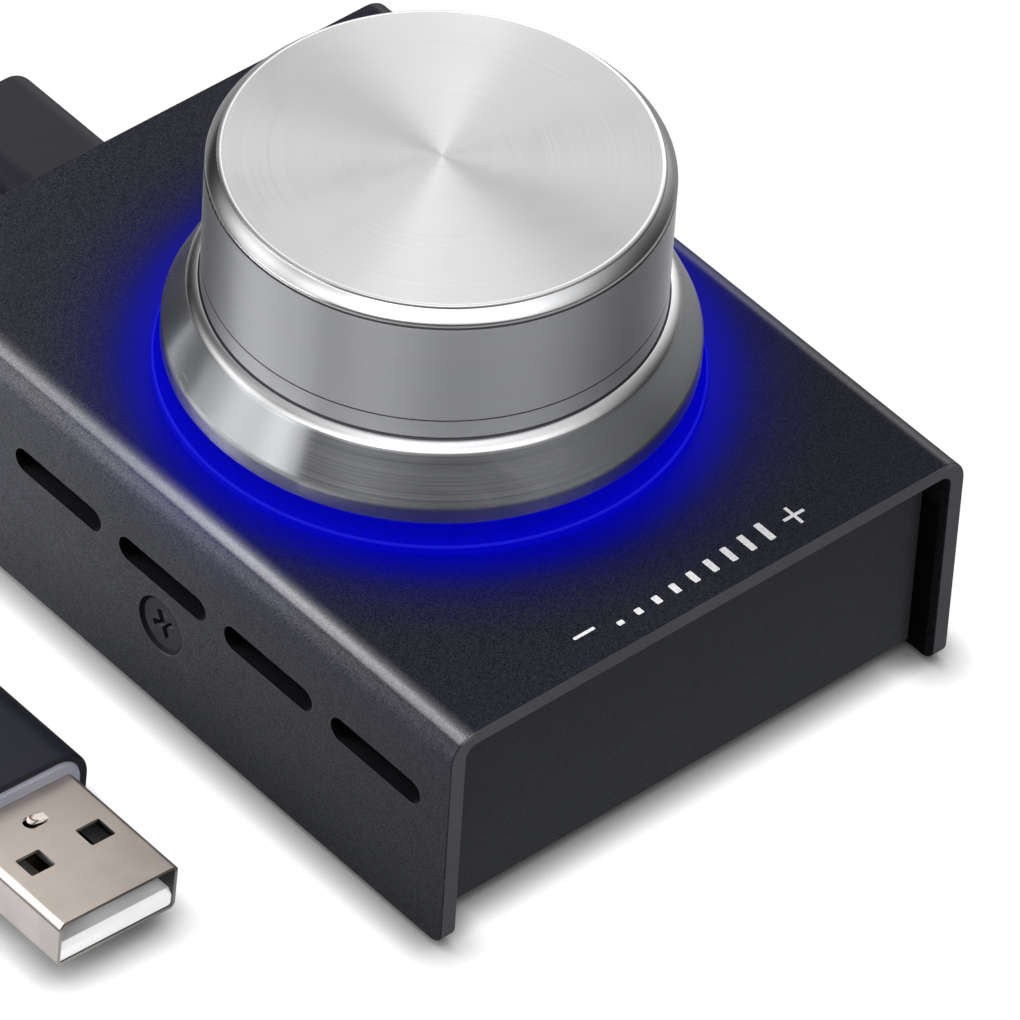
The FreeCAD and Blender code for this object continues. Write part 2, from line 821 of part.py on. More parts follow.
# ---- cable ----
coil_x = -38.0
coil_y = 79.8
coil_columns = 4
coil_layers = 2
tie_thick = 0.5
coil_low = tie_thick
coil_high = coil_low + coil_layers * cable_diameter
coil_inner = coil_radius - coil_columns * wire_radius
coil_outer = coil_radius + coil_columns * wire_radius
outer_turn = coil_outer - wire_radius
lower_turns = coil_low + wire_radius
upper_turns = lower_turns + cable_diameter
leave = math.radians(210)   # where the upper layer's outer turn leaves the coil

# down from the rear plug to the table and round to the far side of the coil
rear_route = [
    Vector(socket_x, rear_relief_end, socket_z),
    Vector(socket_x, 77.5, socket_z),
    Vector(-4.6, 89.5, 6.2),
    Vector(-13.2, 100.0, 2.9),
    Vector(-25.5, 105.6, 2.3),
    Vector(coil_x, coil_y + outer_turn, lower_turns),
]
# off the coil's upper layer, down to the table and up into the USB-A plug
front_route = [
    Vector(coil_x + outer_turn * math.cos(leave), coil_y + outer_turn * math.sin(leave), upper_turns),
    Vector(-55.8, 57.2, 3.9),
    Vector(-50.6, 48.1, 2.3),
    Vector(plug_x, 38.5, plug_z),
    Vector(plug_x, jacket_relief_end, plug_z),
]


def cable_path(points):
    """Straight runs joined by tangent arcs, each as large as its two runs allow."""
    share = 0.45
    edges = []
    radii = []
    last = points[0]
    for i in range(1, len(points) - 1):
        here = points[i]
        before = points[i - 1] - here
        after = points[i + 1] - here
        reach = share * min(before.Length, after.Length)
        before.normalize()
        after.normalize()
        half_turn = (math.pi - before.getAngle(after)) / 2
        radius = reach / math.tan(half_turn)
        radii.append(radius)
        middle = before + after
        middle.normalize()
        centre = here + middle * (radius / math.cos(half_turn))
        start = here + before * reach
        end = here + after * reach
        edges.append(Part.LineSegment(last, start).toShape())
        edges.append(Part.Arc(start, centre - middle * radius, end).toShape())
        last = end
    edges.append(Part.LineSegment(last, points[-1]).toShape())
    return Part.Wire(edges), radii


def cable_tube(name, points):
    """A round tube along a route. Prints its bend radii and compares its volume with the path's."""
    path, radii = cable_path(points)
    section = Part.Wire(Part.makeCircle(wire_radius, points[0], points[1] - points[0]))
    tube = path.makePipeShell([section], True, False)
    expected = math.pi * wire_radius ** 2 * path.Length
    print(name, "length", round(path.Length, 1), "radii", [round(radius, 1) for radius in radii],
          "volume over section times length", round(tube.Volume / expected, 4))
    return tube


def make_rear_lead():
    return cable_tube("rear_lead", rear_route)


def make_front_lead():
    return cable_tube("front_lead", front_route)


def coil_ring(grow, angle):
    """The coil's outer shape, grown all round, turned through an angle about the coil's middle."""
    section = rectangle(coil_radius, (coil_low + coil_high) / 2, coil_outer - coil_inner + 2 * grow,
                        coil_high - coil_low + 2 * grow, wire_radius + grow)
    return outline(section, lambda r, z: Vector(r, 0, z)).revolve(Vector(0, 0, 0), Vector(0, 0, 1), angle)


def make_cable_coil():
    coil = coil_ring(0, 360)
    coil.translate(Vector(coil_x, coil_y, 0))
    return coil


def make_cable_tie():
    """Strap round all the turns."""
    spread = 18.0
    middle_angle = 330.0
    strap = coil_ring(tie_thick, spread).cut(coil_ring(0, 360))
    strap.rotate(Vector(0, 0, 0), Vector(0, 0, 1), middle_angle - spread / 2)
    strap.translate(Vector(coil_x, coil_y, 0))
    return strap


makers = [
    make_top_cover, make_base_tray, make_cover_screws, make_rubber_feet,
    make_main_board, make_controller_chip, make_crystal, make_board_capacitors, make_board_resistors,
    make_indicator_leds, make_usb_socket_shell, make_usb_socket_tongue,
    make_encoder_frame, make_encoder_housing, make_encoder_rotor, make_encoder_shaft,
    make_encoder_washer, make_encoder_nut, make_encoder_pins,
    make_switch_housing, make_switch_plunger, make_switch_dome,
    make_light_guide, make_knob_shell, make_knob_hub,
    make_rear_plug_shell, make_rear_plug_overmold,
    make_a_plug_shell, make_a_plug_tongue, make_a_plug_contacts, make_a_plug_core, make_a_plug_jacket,
    make_rear_lead, make_cable_coil, make_cable_tie, make_front_lead,
]

os.makedirs("parts", exist_ok=True)
for make in makers:
    name = make.__name__.removeprefix("make_")
    shape = make()
    solids = shape.Solids
    if len(solids) == 1:
        shape = solids[0]
    print(name, "solids", len(solids), "valid", shape.isValid(), "volume", round(shape.Volume, 1))
    shape.exportStep(f"parts/{name}.step")
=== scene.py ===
import math

import bpy
import numpy as np
from mathutils import Matrix, Vector


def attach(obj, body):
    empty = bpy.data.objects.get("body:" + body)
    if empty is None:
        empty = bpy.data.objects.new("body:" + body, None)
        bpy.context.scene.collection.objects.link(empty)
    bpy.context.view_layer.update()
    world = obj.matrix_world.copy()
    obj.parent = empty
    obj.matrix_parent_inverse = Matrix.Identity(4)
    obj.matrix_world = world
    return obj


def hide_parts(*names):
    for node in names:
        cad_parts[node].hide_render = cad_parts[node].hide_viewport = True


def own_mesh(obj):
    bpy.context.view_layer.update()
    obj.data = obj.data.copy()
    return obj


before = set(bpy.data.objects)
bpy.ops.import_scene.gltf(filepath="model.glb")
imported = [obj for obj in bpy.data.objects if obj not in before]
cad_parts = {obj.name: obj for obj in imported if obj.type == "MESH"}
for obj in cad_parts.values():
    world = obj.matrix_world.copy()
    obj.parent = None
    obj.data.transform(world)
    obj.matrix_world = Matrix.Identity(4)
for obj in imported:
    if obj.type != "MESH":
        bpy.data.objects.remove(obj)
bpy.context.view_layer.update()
mm = 0.001
print("frame loaded:", len(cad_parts), "nodes")


def link(obj):
    bpy.context.scene.collection.objects.link(obj)
    return obj


def meshObject(name, points, faces, materials=(), faceSlots=None, uv=None, sharpAngle=35):
    # An object at the origin from points in millimetres and faces of equal size.
    mesh = bpy.data.meshes.new(name)
    mesh.from_pydata((np.asarray(points) * mm).tolist(), [], [list(f) for f in faces])
    for material in materials:
        mesh.materials.append(material)
    if faceSlots is not None:
        mesh.polygons.foreach_set("material_index", np.asarray(faceSlots, np.int32))
    if uv is not None:
        layer = mesh.uv_layers.new(name="UVMap")
        layer.data.foreach_set("uv", np.asarray(uv, np.float32).ravel())
    mesh.polygons.foreach_set("use_smooth", np.ones(len(mesh.polygons), bool))
    mesh.set_sharp_from_angle(angle=math.radians(sharpAngle))
    mesh.update()
    return link(bpy.data.objects.new(name, mesh))


def feed(tree, socket, value):
    # Links an output into the socket, or sets the socket's own value.
    if isinstance(value, bpy.types.NodeSocket):
        tree.links.new(value, socket)
    else:
        socket.default_value = value


def addNode(tree, kind, inputs=None, **settings):
    node = tree.nodes.new(kind)
    for key, value in settings.items():
        setattr(node, key, value)
    for key, value in (inputs or {}).items():
        feed(tree, node.inputs[key], value)
    return node


def mathNode(tree, operation, *values, clamp=False):
    inputs = dict(enumerate(values))
    return addNode(tree, "ShaderNodeMath", inputs, operation=operation, use_clamp=clamp).outputs[0]


def times(tree, *values):
    product = values[0]
    for value in values[1:]:
        product = mathNode(tree, "MULTIPLY", product, value)
    return product


def plus(tree, first, second):
    return mathNode(tree, "ADD", first, second)


def inverse(tree, value):
    return mathNode(tree, "SUBTRACT", 1.0, value)


def absolute(tree, value):
    return mathNode(tree, "ABSOLUTE", value)


def vectorMath(tree, operation, *values, output=0):
    inputs = dict(enumerate(values))
    return addNode(tree, "ShaderNodeVectorMath", inputs, operation=operation).outputs[output]


def ramp(tree, value, low, high, outLow=0.0, outHigh=1.0, smooth=True):
    # outLow at low, outHigh at high, eased between them and level outside.
    inputs = {0: value, 1: low, 2: high, 3: outLow, 4: outHigh}
    kind = "SMOOTHSTEP" if smooth else "LINEAR"
    return addNode(tree, "ShaderNodeMapRange", inputs, interpolation_type=kind).outputs[0]


def mixColour(tree, factor, first, second, blend="MIX"):
    node = tree.nodes.new("ShaderNodeMix")
    node.data_type = "RGBA"
    node.blend_type = blend
    feed(tree, node.inputs[0], factor)
    feed(tree, node.inputs[6], first)
    feed(tree, node.inputs[7], second)
    return node.outputs[2]


def noise(tree, vector, scale, detail=2.0, roughness=0.5, distortion=0.0):
    inputs = {"Vector": vector, "Scale": scale, "Detail": detail, "Roughness": roughness,
              "Distortion": distortion}
    return addNode(tree, "ShaderNodeTexNoise", inputs).outputs[0]


def lengthOf(tree, vector):
    return vectorMath(tree, "LENGTH", vector, output=1)


def dot(tree, first, second):
    return vectorMath(tree, "DOT_PRODUCT", first, second, output=1)


def joinVector(tree, x=0.0, y=0.0, z=0.0):
    return addNode(tree, "ShaderNodeCombineXYZ", {0: x, 1: y, 2: z}).outputs[0]


def objectCoordinates(tree):
    return tree.nodes.new("ShaderNodeTexCoord").outputs["Object"]


def splitVector(tree, vector):
    return addNode(tree, "ShaderNodeSeparateXYZ", {0: vector}).outputs


def band(tree, value, low, high, soft):
    # 1 where value lies from low to high, falling off over soft on each side.
    rise = ramp(tree, value, low - soft, low + soft)
    fall = ramp(tree, value, high - soft, high + soft, 1.0, 0.0)
    return times(tree, rise, fall)


def rgb(red, green, blue):
    return (red, green, blue, 1.0)


def scaled(colour, factor, lift=0.0):
    # The colour times the factor plus the lift, no channel above 1.
    return rgb(*[min(1.0, c * factor + lift) for c in colour])


def surfaceNormal(tree):
    return tree.nodes.new("ShaderNodeNewGeometry").outputs["Normal"]


def newGroup(name, inputs, outputs):
    # A shader node group with float, vector or colour sockets, and its two end nodes.
    group = bpy.data.node_groups.new(name, "ShaderNodeTree")
    kinds = {"value": "NodeSocketFloat", "vector": "NodeSocketVector", "colour": "NodeSocketColor"}
    for label, kind, start in inputs:
        socket = group.interface.new_socket(label, in_out="INPUT", socket_type=kinds[kind])
        if start is not None:
            socket.default_value = start
    for label, kind in outputs:
        group.interface.new_socket(label, in_out="OUTPUT", socket_type=kinds[kind])
    source = group.nodes.new("NodeGroupInput")
    sink = group.nodes.new("NodeGroupOutput")
    return group, source.outputs, sink.inputs


def useGroup(tree, group, **inputs):
    node = tree.nodes.new("ShaderNodeGroup")
    node.node_tree = group
    for key, value in inputs.items():
        feed(tree, node.inputs[key], value)
    return node.outputs


def newMaterial(name, **constants):
    # A material with one Principled shader, whose plain numbers are set on its own sockets.
    material = bpy.data.materials.new(name)
    material.use_nodes = True
    tree = material.node_tree
    tree.nodes.clear()
    shader = tree.nodes.new("ShaderNodeBsdfPrincipled")
    output = tree.nodes.new("ShaderNodeOutputMaterial")
    tree.links.new(shader.outputs[0], output.inputs["Surface"])
    for key, value in constants.items():
        shader.inputs[key.replace("_", " ")].default_value = value
    return material, tree, shader.inputs


def dress(tree, shader, colour, roughness):
    feed(tree, shader["Base Color"], colour)
    feed(tree, shader["Roughness"], roughness)


def addBump(tree, shader, strength, distance, height):
    # Bump of so many metres at full height, given to the shader as its normal.
    bump = addNode(tree, "ShaderNodeBump", {"Strength": strength, "Distance": distance, "Height": height})
    feed(tree, shader["Normal"], bump.outputs[0])


cameraView = {
    "turn": -43.444, "tilt": 43.019, "roll": 3.848,  # degrees
    "across": 8.301, "up": 3.622, "distance": 919.17,  # millimetres in the camera's own axes
    "aboveTable": 0.8,
    "focal": 11267.643, "imageWidth": 1020,  # pixels
}


def makeCamera(view):
    # Rows right, up and back: back = (sin a cos e, -cos a cos e, sin e), right = (cos a, sin a, 0),
    # up = back x right, then right and up turned by the roll.
    turn, tilt, roll = [math.radians(view[k]) for k in ("turn", "tilt", "roll")]
    back = Vector((math.sin(turn) * math.cos(tilt), -math.cos(turn) * math.cos(tilt), math.sin(tilt)))
    right = Vector((math.cos(turn), math.sin(turn), 0))
    up = back.cross(right)
    across = right * math.cos(roll) + up * math.sin(roll)
    upward = up * math.cos(roll) - right * math.sin(roll)
    place = across * view["across"] + upward * view["up"] + back * view["distance"]
    place.z += view["aboveTable"]
    data = bpy.data.cameras.new("camera")
    data.sensor_width = 36.0
    data.lens = view["focal"] / view["imageWidth"] * data.sensor_width
    camera = link(bpy.data.objects.new("camera", data))
    turned = Matrix((across, upward, back)).transposed().to_4x4()
    camera.matrix_world = Matrix.Translation(place * mm) @ turned
    return camera


bpy.context.scene.camera = makeCamera(cameraView)
print("camera set")


def makeGrain():
    # Fine powder grain: two noises of the position, in flecks per millimetre.
    tree, given, out = newGroup(
        "powderGrain",
        [("Position", "vector", None), ("Flecks", "value", 7.0)],
        [("Grain", "value"), ("Height", "value"), ("Cloud", "value")])
    perMetre = times(tree, given["Flecks"], 1000.0)
    fine = noise(tree, given["Position"], perMetre, 1.5, 0.6)
    coarse = noise(tree, given["Position"], times(tree, perMetre, 0.31), 2.0, 0.55)
    grain = plus(tree, times(tree, fine, 0.8), times(tree, coarse, 0.2))
    tree.links.new(ramp(tree, grain, 0.36, 0.64), out["Grain"])
    tree.links.new(grain, out["Height"])
    tree.links.new(noise(tree, given["Position"], 55.0, 3.0, 0.5), out["Cloud"])
    return tree


def makeEdgeMask():
    # How far the rounded normal leaves the true one: 1 - n.b, spread to 0..1 and broken by noise.
    tree, given, out = newGroup(
        "edgeWear",
        [("Position", "vector", None), ("Radius", "value", 0.0003), ("Break", "value", 0.5)],
        [("Mask", "value")])
    soft = addNode(tree, "ShaderNodeBevel", {"Radius": given["Radius"]}, samples=6).outputs[0]
    true = surfaceNormal(tree)
    turned = inverse(tree, dot(tree, soft, true))
    mask = ramp(tree, turned, 0.02, 0.16)
    patchy = ramp(tree, noise(tree, given["Position"], 900.0, 3.0, 0.6), 0.35, 0.6)
    bare = inverse(tree, patchy)
    kept = inverse(tree, times(tree, given["Break"], bare))
    tree.links.new(mathNode(tree, "MULTIPLY", mask, kept, clamp=True), out["Mask"])
    return tree


def makeTurnedLines():
    # Cutter lines that run round a turned part: noise stretched along u, and a faint beat along v.
    tree, given, out = newGroup(
        "turnedLines",
        [("Map", "vector", None), ("Lines", "value", 400.0), ("Drift", "value", 3.0)],
        [("Lines", "value"), ("Bands", "value"), ("Smudge", "value")])
    axes = splitVector(tree, given["Map"])
    around = times(tree, axes[0], given["Drift"])
    fineAlong = times(tree, axes[1], given["Lines"])
    tree.links.new(noise(tree, joinVector(tree, around, fineAlong), 1.0, 2.0, 0.7), out["Lines"])
    wideAlong = times(tree, fineAlong, 0.08)
    wide = joinVector(tree, around, wideAlong, 4.7)
    tree.links.new(noise(tree, wide, 1.0, 2.0, 0.5), out["Bands"])
    place = objectCoordinates(tree)
    tree.links.new(noise(tree, place, 160.0, 4.0, 0.55, 0.6), out["Smudge"])
    return tree


def makeSkin():
    # Moulded skin: spark texture height, a slow tone drift and a small scuff mask.
    tree, given, out = newGroup(
        "mouldedSkin",
        [("Position", "vector", None), ("Flecks", "value", 5.0)],
        [("Height", "value"), ("Tone", "value"), ("Scuff", "value")])
    perMetre = times(tree, given["Flecks"], 1000.0)
    spark = addNode(tree, "ShaderNodeTexVoronoi", {"Vector": given["Position"], "Scale": perMetre},
                    feature="SMOOTH_F1").outputs["Distance"]
    fine = noise(tree, given["Position"], times(tree, perMetre, 2.1), 2.0, 0.6)
    tree.links.new(plus(tree, times(tree, spark, 0.5), fine), out["Height"])
    tree.links.new(noise(tree, given["Position"], 120.0, 3.0, 0.5), out["Tone"])
    stretched = addNode(tree, "ShaderNodeMapping", {"Vector": given["Position"], "Rotation": (0.3, 0.2, 0.6),
                                                    "Scale": (1.0, 6.0, 1.0)}).outputs[0]
    tree.links.new(ramp(tree, noise(tree, stretched, 420.0, 3.0, 0.6), 0.62, 0.72), out["Scuff"])
    return tree


grainGroup = makeGrain()
edgeGroup = makeEdgeMask()
turnedGroup = makeTurnedLines()
skinGroup = makeSkin()


knobShape = {
    "axisY": -1.2,
    "top": 44.95, "sideRadius": 18.74, "faceRadius": 17.438,
    # each arc of the edge as radius, first and last angle of its normal in degrees, and points
    "lipArc": (0.60, 90, 62, 8), "lipStep": (0.049, -0.152),
    "edgeArc": (5.2, 53, 40, 10), "turnArc": (0.5, 40, 0, 10),
    "grooveDepth": 0.14, "grooves": ((43.46, 0.12), (33.75, 0.07)),
    "neckTop": 32.0, "neckRadius": 0.17, "shoulderArc": (2.0, 72, 40, 12),
    "skirtEnd": (21.74, 27.17), "rimBottom": 25.6, "rimEase": 0.3, "bottom": 25.3,
    "boreRadius": 16.0, "boreTop": 39.95,
    "around": 384,
}


def arcPoints(centre, radius, start, end, count):
    # centre + radius (cos a, sin a) for count angles from start to end, in degrees.
    angle = np.radians(np.linspace(start, end, count))
    return np.stack([centre[0] + radius * np.cos(angle), centre[1] + radius * np.sin(angle)], 1)


def arcFrom(start, radius, first, last, count):
    # The arc of that radius which begins at start, with its outward normal going from first to last.
    begin = math.radians(first)
    centre = (start[0] - radius * math.cos(begin), start[1] - radius * math.sin(begin))
    return arcPoints(centre, radius, first, last, count)


def groovePoints(radius, centre, half, depth, count=9):
    # A cosine dip: r = radius - depth (1 + cos(pi s)) / 2 for s from 1 down to -1 across the groove.
    s = np.linspace(1, -1, count)
    return np.stack([radius - depth * (1 + np.cos(np.pi * s)) / 2, centre + half * s], 1)


def knobProfile(shape):
    # (r, z) points from the top's centre outwards, down the side, and back up the bore,
    # with a finish number for each stretch: 0 face, 1 side, 2 polished edge, 3 skirt, 4 inside, 5 groove
    # (painted dark as painted shade).
    side, top, depth = shape["sideRadius"], shape["top"], shape["grooveDepth"]
    (upper, upperHalf), (lower, lowerHalf) = shape["grooves"]
    neck, skirt, ease = shape["neckRadius"], shape["skirtEnd"], shape["rimEase"]
    lip = arcFrom((shape["faceRadius"], top), *shape["lipArc"])
    step = np.linspace(lip[-1], lip[-1] + shape["lipStep"], 3)
    edge = arcFrom(step[-1], *shape["edgeArc"])
    turn = arcFrom(edge[-1], *shape["turnArc"])
    hollow = arcPoints((side + neck, shape["neckTop"]), neck, 180, 270, 6)
    shoulder = arcFrom(hollow[-1], *shape["shoulderArc"])
    stretches = [
        (0, np.linspace((0, top), (shape["faceRadius"], top), 40)),
        (2, lip), (2, step), (2, edge), (2, turn),
        (2, np.linspace(turn[-1], (side, upper + upperHalf), 2)),
        (5, groovePoints(side, upper, upperHalf, depth)),
        (1, np.linspace((side, upper - upperHalf), (side, lower + lowerHalf), 24)),
        (5, groovePoints(side, lower, lowerHalf, depth)),
        (1, np.linspace((side, lower - lowerHalf), (side, shape["neckTop"]), 6)),
        (5, hollow), (2, shoulder),
        (3, np.linspace(shoulder[-1], skirt, 14)),
        (3, np.linspace(skirt, (skirt[0], shape["rimBottom"]), 5)),
        (2, arcPoints((skirt[0] - ease, shape["rimBottom"]), ease, 0, -90, 6)),
        (4, np.linspace((skirt[0] - ease, shape["bottom"]), (shape["boreRadius"], shape["bottom"]), 6)),
        (4, np.linspace((shape["boreRadius"], shape["bottom"]), (shape["boreRadius"], shape["boreTop"]), 10)),
        (4, np.linspace((shape["boreRadius"], shape["boreTop"]), (0, shape["boreTop"]), 10)),
    ]
    # a stretch begins where the last one ended, so points that repeat are left out
    repeated = 1e-4
    points, finish = [stretches[0][1][0]], []
    for kind, stretch in stretches:
        for point in stretch:
            if np.hypot(*(point - points[-1])) > repeated:
                points.append(point)
                finish.append(kind)
    return np.array(points), np.array(finish)


def latheMesh(name, profile, finish, centreY, around, materials, sharpAngle=35):
    # p(i, j) = (r_i sin a_j, y0 - r_i cos a_j, z_i). Both ends of the profile lie on the axis, and
    # close with a fan of triangles. u runs once round, v is the share of the profile's length.
    rows = len(profile)
    angle = 2 * np.pi * np.arange(around) / around
    r, z = profile[1:-1, 0][:, None], profile[1:-1, 1][:, None]
    grid = np.stack([r * np.sin(angle), centreY - r * np.cos(angle), z + 0 * angle], 2)
    first, final = [[0, centreY, profile[0, 1]]], [[0, centreY, profile[-1, 1]]]
    points = np.concatenate([first, grid.reshape(-1, 3), final])
    index = 1 + np.arange((rows - 2) * around).reshape(rows - 2, around)
    following = np.roll(index, -1, 1)
    quads = np.stack([index[:-1], index[1:], following[1:], following[:-1]], 2).reshape(-1, 4)
    last = len(points) - 1
    topFan = np.stack([np.zeros(around, int), index[0], following[0]], 1)
    bottomFan = np.stack([following[-1], index[-1], np.full(around, last)], 1)
    faces = topFan.tolist() + quads.tolist() + bottomFan.tolist()
    slots = np.concatenate([np.full(around, finish[0]), np.repeat(finish[1:-1], around),
                            np.full(around, finish[-1])])
    run = np.concatenate([[0], np.cumsum(np.hypot(*np.diff(profile, axis=0).T))])
    v, u = run / run[-1], np.arange(around + 1) / around
    left, right = u[:-1], u[1:]
    fanUv = lambda first, second, third: np.stack([first, second, third], 1).reshape(-1, 2)
    at = lambda along, height: np.stack([along, np.full(around, height)], 1)
    middle = (left + right) / 2
    upperV = np.repeat(v[1:-2], around)
    lowerV = np.repeat(v[2:-1], around)
    leftU, rightU = np.tile(left, rows - 3), np.tile(right, rows - 3)
    quadUv = np.stack([np.stack([leftU, upperV], 1), np.stack([leftU, lowerV], 1),
                       np.stack([rightU, lowerV], 1), np.stack([rightU, upperV], 1)], 1).reshape(-1, 2)
    uv = np.concatenate([fanUv(at(middle, v[0]), at(left, v[1]), at(right, v[1])), quadUv,
                         fanUv(at(right, v[-2]), at(left, v[-2]), at(middle, v[-1]))])
    return meshObject(name, points, faces, materials, slots, uv, sharpAngle)


knobFinish = {
    "face": {"colour": (0.97, 0.965, 0.96), "roughness": 0.46, "anisotropic": 0.97, "lines": 900.0,
             "lineDepth": 0.06, "streak": 0.10, "spread": 0.04, "drift": 2.0},
    # painted shade: the side and skirt are darker copies of the face's aluminium
    "side": {"colour": (0.815, 0.82, 0.84), "roughness": 0.54, "anisotropic": 1.0, "lines": 1300.0,
             "lineDepth": 0.08, "streak": 0.10, "spread": 0.05, "drift": 5.0},
    "edge": {"colour": (0.97, 0.97, 0.98), "roughness": 0.20, "anisotropic": 0.4, "lines": 1500.0,
             "lineDepth": 0.04, "streak": 0.06, "spread": 0.03, "drift": 3.0},
    "skirt": {"colour": (0.665, 0.675, 0.695), "roughness": 0.23, "anisotropic": 0.95, "lines": 800.0,
              "lineDepth": 0.015, "streak": 0.09, "spread": 0.03, "drift": 1.6},
    "inside": {"colour": (0.72, 0.73, 0.74), "roughness": 0.42, "anisotropic": 0.7, "lines": 700.0,
               "lineDepth": 0.25, "streak": 0.14, "spread": 0.08, "drift": 4.0},
    # painted shade: the grooves and the neck's hollow are painted near black
    "groove": {"colour": (0.10, 0.10, 0.115), "roughness": 0.40, "anisotropic": 0.5, "lines": 900.0,
               "lineDepth": 0.20, "streak": 0.14, "spread": 0.05, "drift": 4.0},
}


def spunAluminium(name, finish):
    # Turned aluminium: the gloss is stretched across the cutter lines, which run along u.
    material, tree, shader = newMaterial(name, Metallic=1.0, Anisotropic=finish["anisotropic"],
                                         Anisotropic_Rotation=0.25)
    uvMap = addNode(tree, "ShaderNodeUVMap", uv_map="UVMap").outputs[0]
    lines = useGroup(tree, turnedGroup, Map=uvMap, Lines=finish["lines"], Drift=finish["drift"])
    base = rgb(*finish["colour"])
    dull = scaled(finish["colour"], 1 - finish["streak"])
    shade = mixColour(tree, ramp(tree, lines["Lines"], 0.3, 0.7), dull, base)
    cool = rgb(finish["colour"][0] * 0.94, finish["colour"][1] * 0.955, finish["colour"][2] * 0.975)
    tinted = mixColour(tree, ramp(tree, lines["Bands"], 0.35, 0.65, 0.0, 0.5), shade, cool)
    feed(tree, shader["Base Color"], tinted)
    spread = finish["spread"]
    rough = ramp(tree, lines["Lines"], 0.25, 0.75, finish["roughness"] - spread, finish["roughness"] + spread)
    smudged = plus(tree, rough, ramp(tree, lines["Smudge"], 0.45, 0.75, 0.0, 0.025))
    feed(tree, shader["Roughness"], smudged)
    tangent = addNode(tree, "ShaderNodeTangent", direction_type="UV_MAP", uv_map="UVMap")
    feed(tree, shader["Tangent"], tangent.outputs[0])
    addBump(tree, shader, finish["lineDepth"], 0.00002, lines["Lines"])
    return material


knobMaterials = [spunAluminium("knob" + part.capitalize(), knobFinish[part])
                 for part in ("face", "side", "edge", "skirt", "inside", "groove")]
knobPoints, knobZones = knobProfile(knobShape)
knob = latheMesh("knob", knobPoints, knobZones, knobShape["axisY"], knobShape["around"], knobMaterials)
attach(knob, "knob")
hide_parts("knob_shell")
print("knob:", len(knob.data.polygons), "faces")


cableShape = {
    "diameter": 3.8,
    "rearRoute": ((-1.9, 66.5, 10.75), (-1.9, 77.5, 10.75), (-4.6, 89.5, 6.2), (-13.2, 100.0, 2.9),
                  (-25.5, 105.6, 2.3), (-38.0, 106.5, 2.4)),
    "frontRoute": ((-61.12, 66.45, 6.2), (-55.8, 57.2, 3.9), (-50.6, 48.1, 2.3), (-47.25, 38.5, 4.25),
                   (-47.25, 29.0, 4.25)),
    "coilCentre": (-38.0, 79.8), "coilRadii": (15.3, 19.1, 22.9, 26.7), "layers": (2.4, 6.2),
    "coilStart": 90.0, "coilSweep": 2640.0, "coilSteps": 118,  # degrees, and points over the whole sweep
}


def coilPoints(shape):
    # p(a) = centre + R(a) (cos a, sin a) for equal steps of a. R steps in by one column each turn on
    # the lower layer, rises to the upper layer and steps out again; each step is eased over part of a turn.
    # A spline lies inside its control points, so R is divided by (3 + cos(step)) / 4.
    inner, second, third, outer = shape["coilRadii"]
    low, high = shape["layers"]
    turn = shape["coilSweep"] / 360 * np.arange(1, shape["coilSteps"]) / shape["coilSteps"]
    ease = lambda start, end: (lambda s: s * s * (3 - 2 * s))(np.clip((turn - start) / (end - start), 0, 1))
    pitch = second - inner
    inwards = sum(ease(k + 0.80, k + 0.98) for k in (0, 1, 2))
    outwards = sum(ease(k + 0.30, k + 0.47) for k in (4, 5, 6))
    radius = outer - pitch * inwards + pitch * outwards
    height = low + (high - low) * ease(3.47, 3.66)
    step = math.radians(shape["coilSweep"] / shape["coilSteps"])
    angle = math.radians(shape["coilStart"]) + 2 * np.pi * turn
    control = radius * 4 / (3 + math.cos(step))
    x = shape["coilCentre"][0] + control * np.cos(angle)
    y = shape["coilCentre"][1] + control * np.sin(angle)
    return np.stack([x, y, height], 1)


def makeCable(shape, material):
    # One open NURBS curve of order 3 from the rear plug, round the coil, to the big plug.
    route = np.concatenate([shape["rearRoute"], coilPoints(shape), shape["frontRoute"]]) * mm
    curve = bpy.data.curves.new("usbCable", "CURVE")
    curve.dimensions = "3D"
    curve.bevel_depth = shape["diameter"] / 2 * mm
    curve.bevel_resolution = 4
    curve.resolution_u = 5
    curve.use_fill_caps = True
    spline = curve.splines.new("NURBS")
    spline.points.add(len(route) - 1)
    spline.points.foreach_set("co", np.concatenate([route, np.ones((len(route), 1))], 1).ravel())
    spline.order_u = 3
    spline.use_endpoint_u = True
    curve.materials.append(material)
    return link(bpy.data.objects.new("usbCable", curve))


def cableSkin():
    # Satin PVC: fine grain, a slow tone drift and a few dull rubs.
    material, tree, shader = newMaterial("cableSkin", Specular_IOR_Level=0.4)
    place = objectCoordinates(tree)
    skin = useGroup(tree, skinGroup, Position=place, Flecks=3.0)
    tone = ramp(tree, skin["Tone"], 0.35, 0.65)
    tone = mixColour(tree, tone, rgb(0.020, 0.020, 0.024), rgb(0.030, 0.030, 0.035))
    scuff = times(tree, skin["Scuff"], 0.35)
    dress(tree, shader, mixColour(tree, scuff, tone, rgb(0.075, 0.075, 0.08)),
          ramp(tree, skin["Tone"], 0.3, 0.7, 0.42, 0.52))
    addBump(tree, shader, 0.35, 0.00006, skin["Height"])
    return material


tieShape = {"angle": 330.0, "sweep": 18.0, "inner": 13.4, "outer": 28.6, "low": 0.5, "high": 8.1,
            "corner": 1.9, "thickness": 0.5, "lowest": 0.06, "slack": 0.02, "sink": 0.45, "rimDrop": 0.35,
            "across": 21, "around": 96}


def roundedLoop(low, high, bottom, top, corner, count):
    # A rounded rectangle: four corner arcs of count / 4 points each, joined by straights.
    arc = np.linspace(0, np.pi / 2, count // 4)
    centres = ((high - corner, top - corner), (low + corner, top - corner),
               (low + corner, bottom + corner), (high - corner, bottom + corner))
    corners = []
    for k, (x, y) in enumerate(centres):
        turned = arc + k * np.pi / 2
        corners.append(np.stack([x + corner * np.cos(turned), y + corner * np.sin(turned)], 1))
    return np.concatenate(corners)


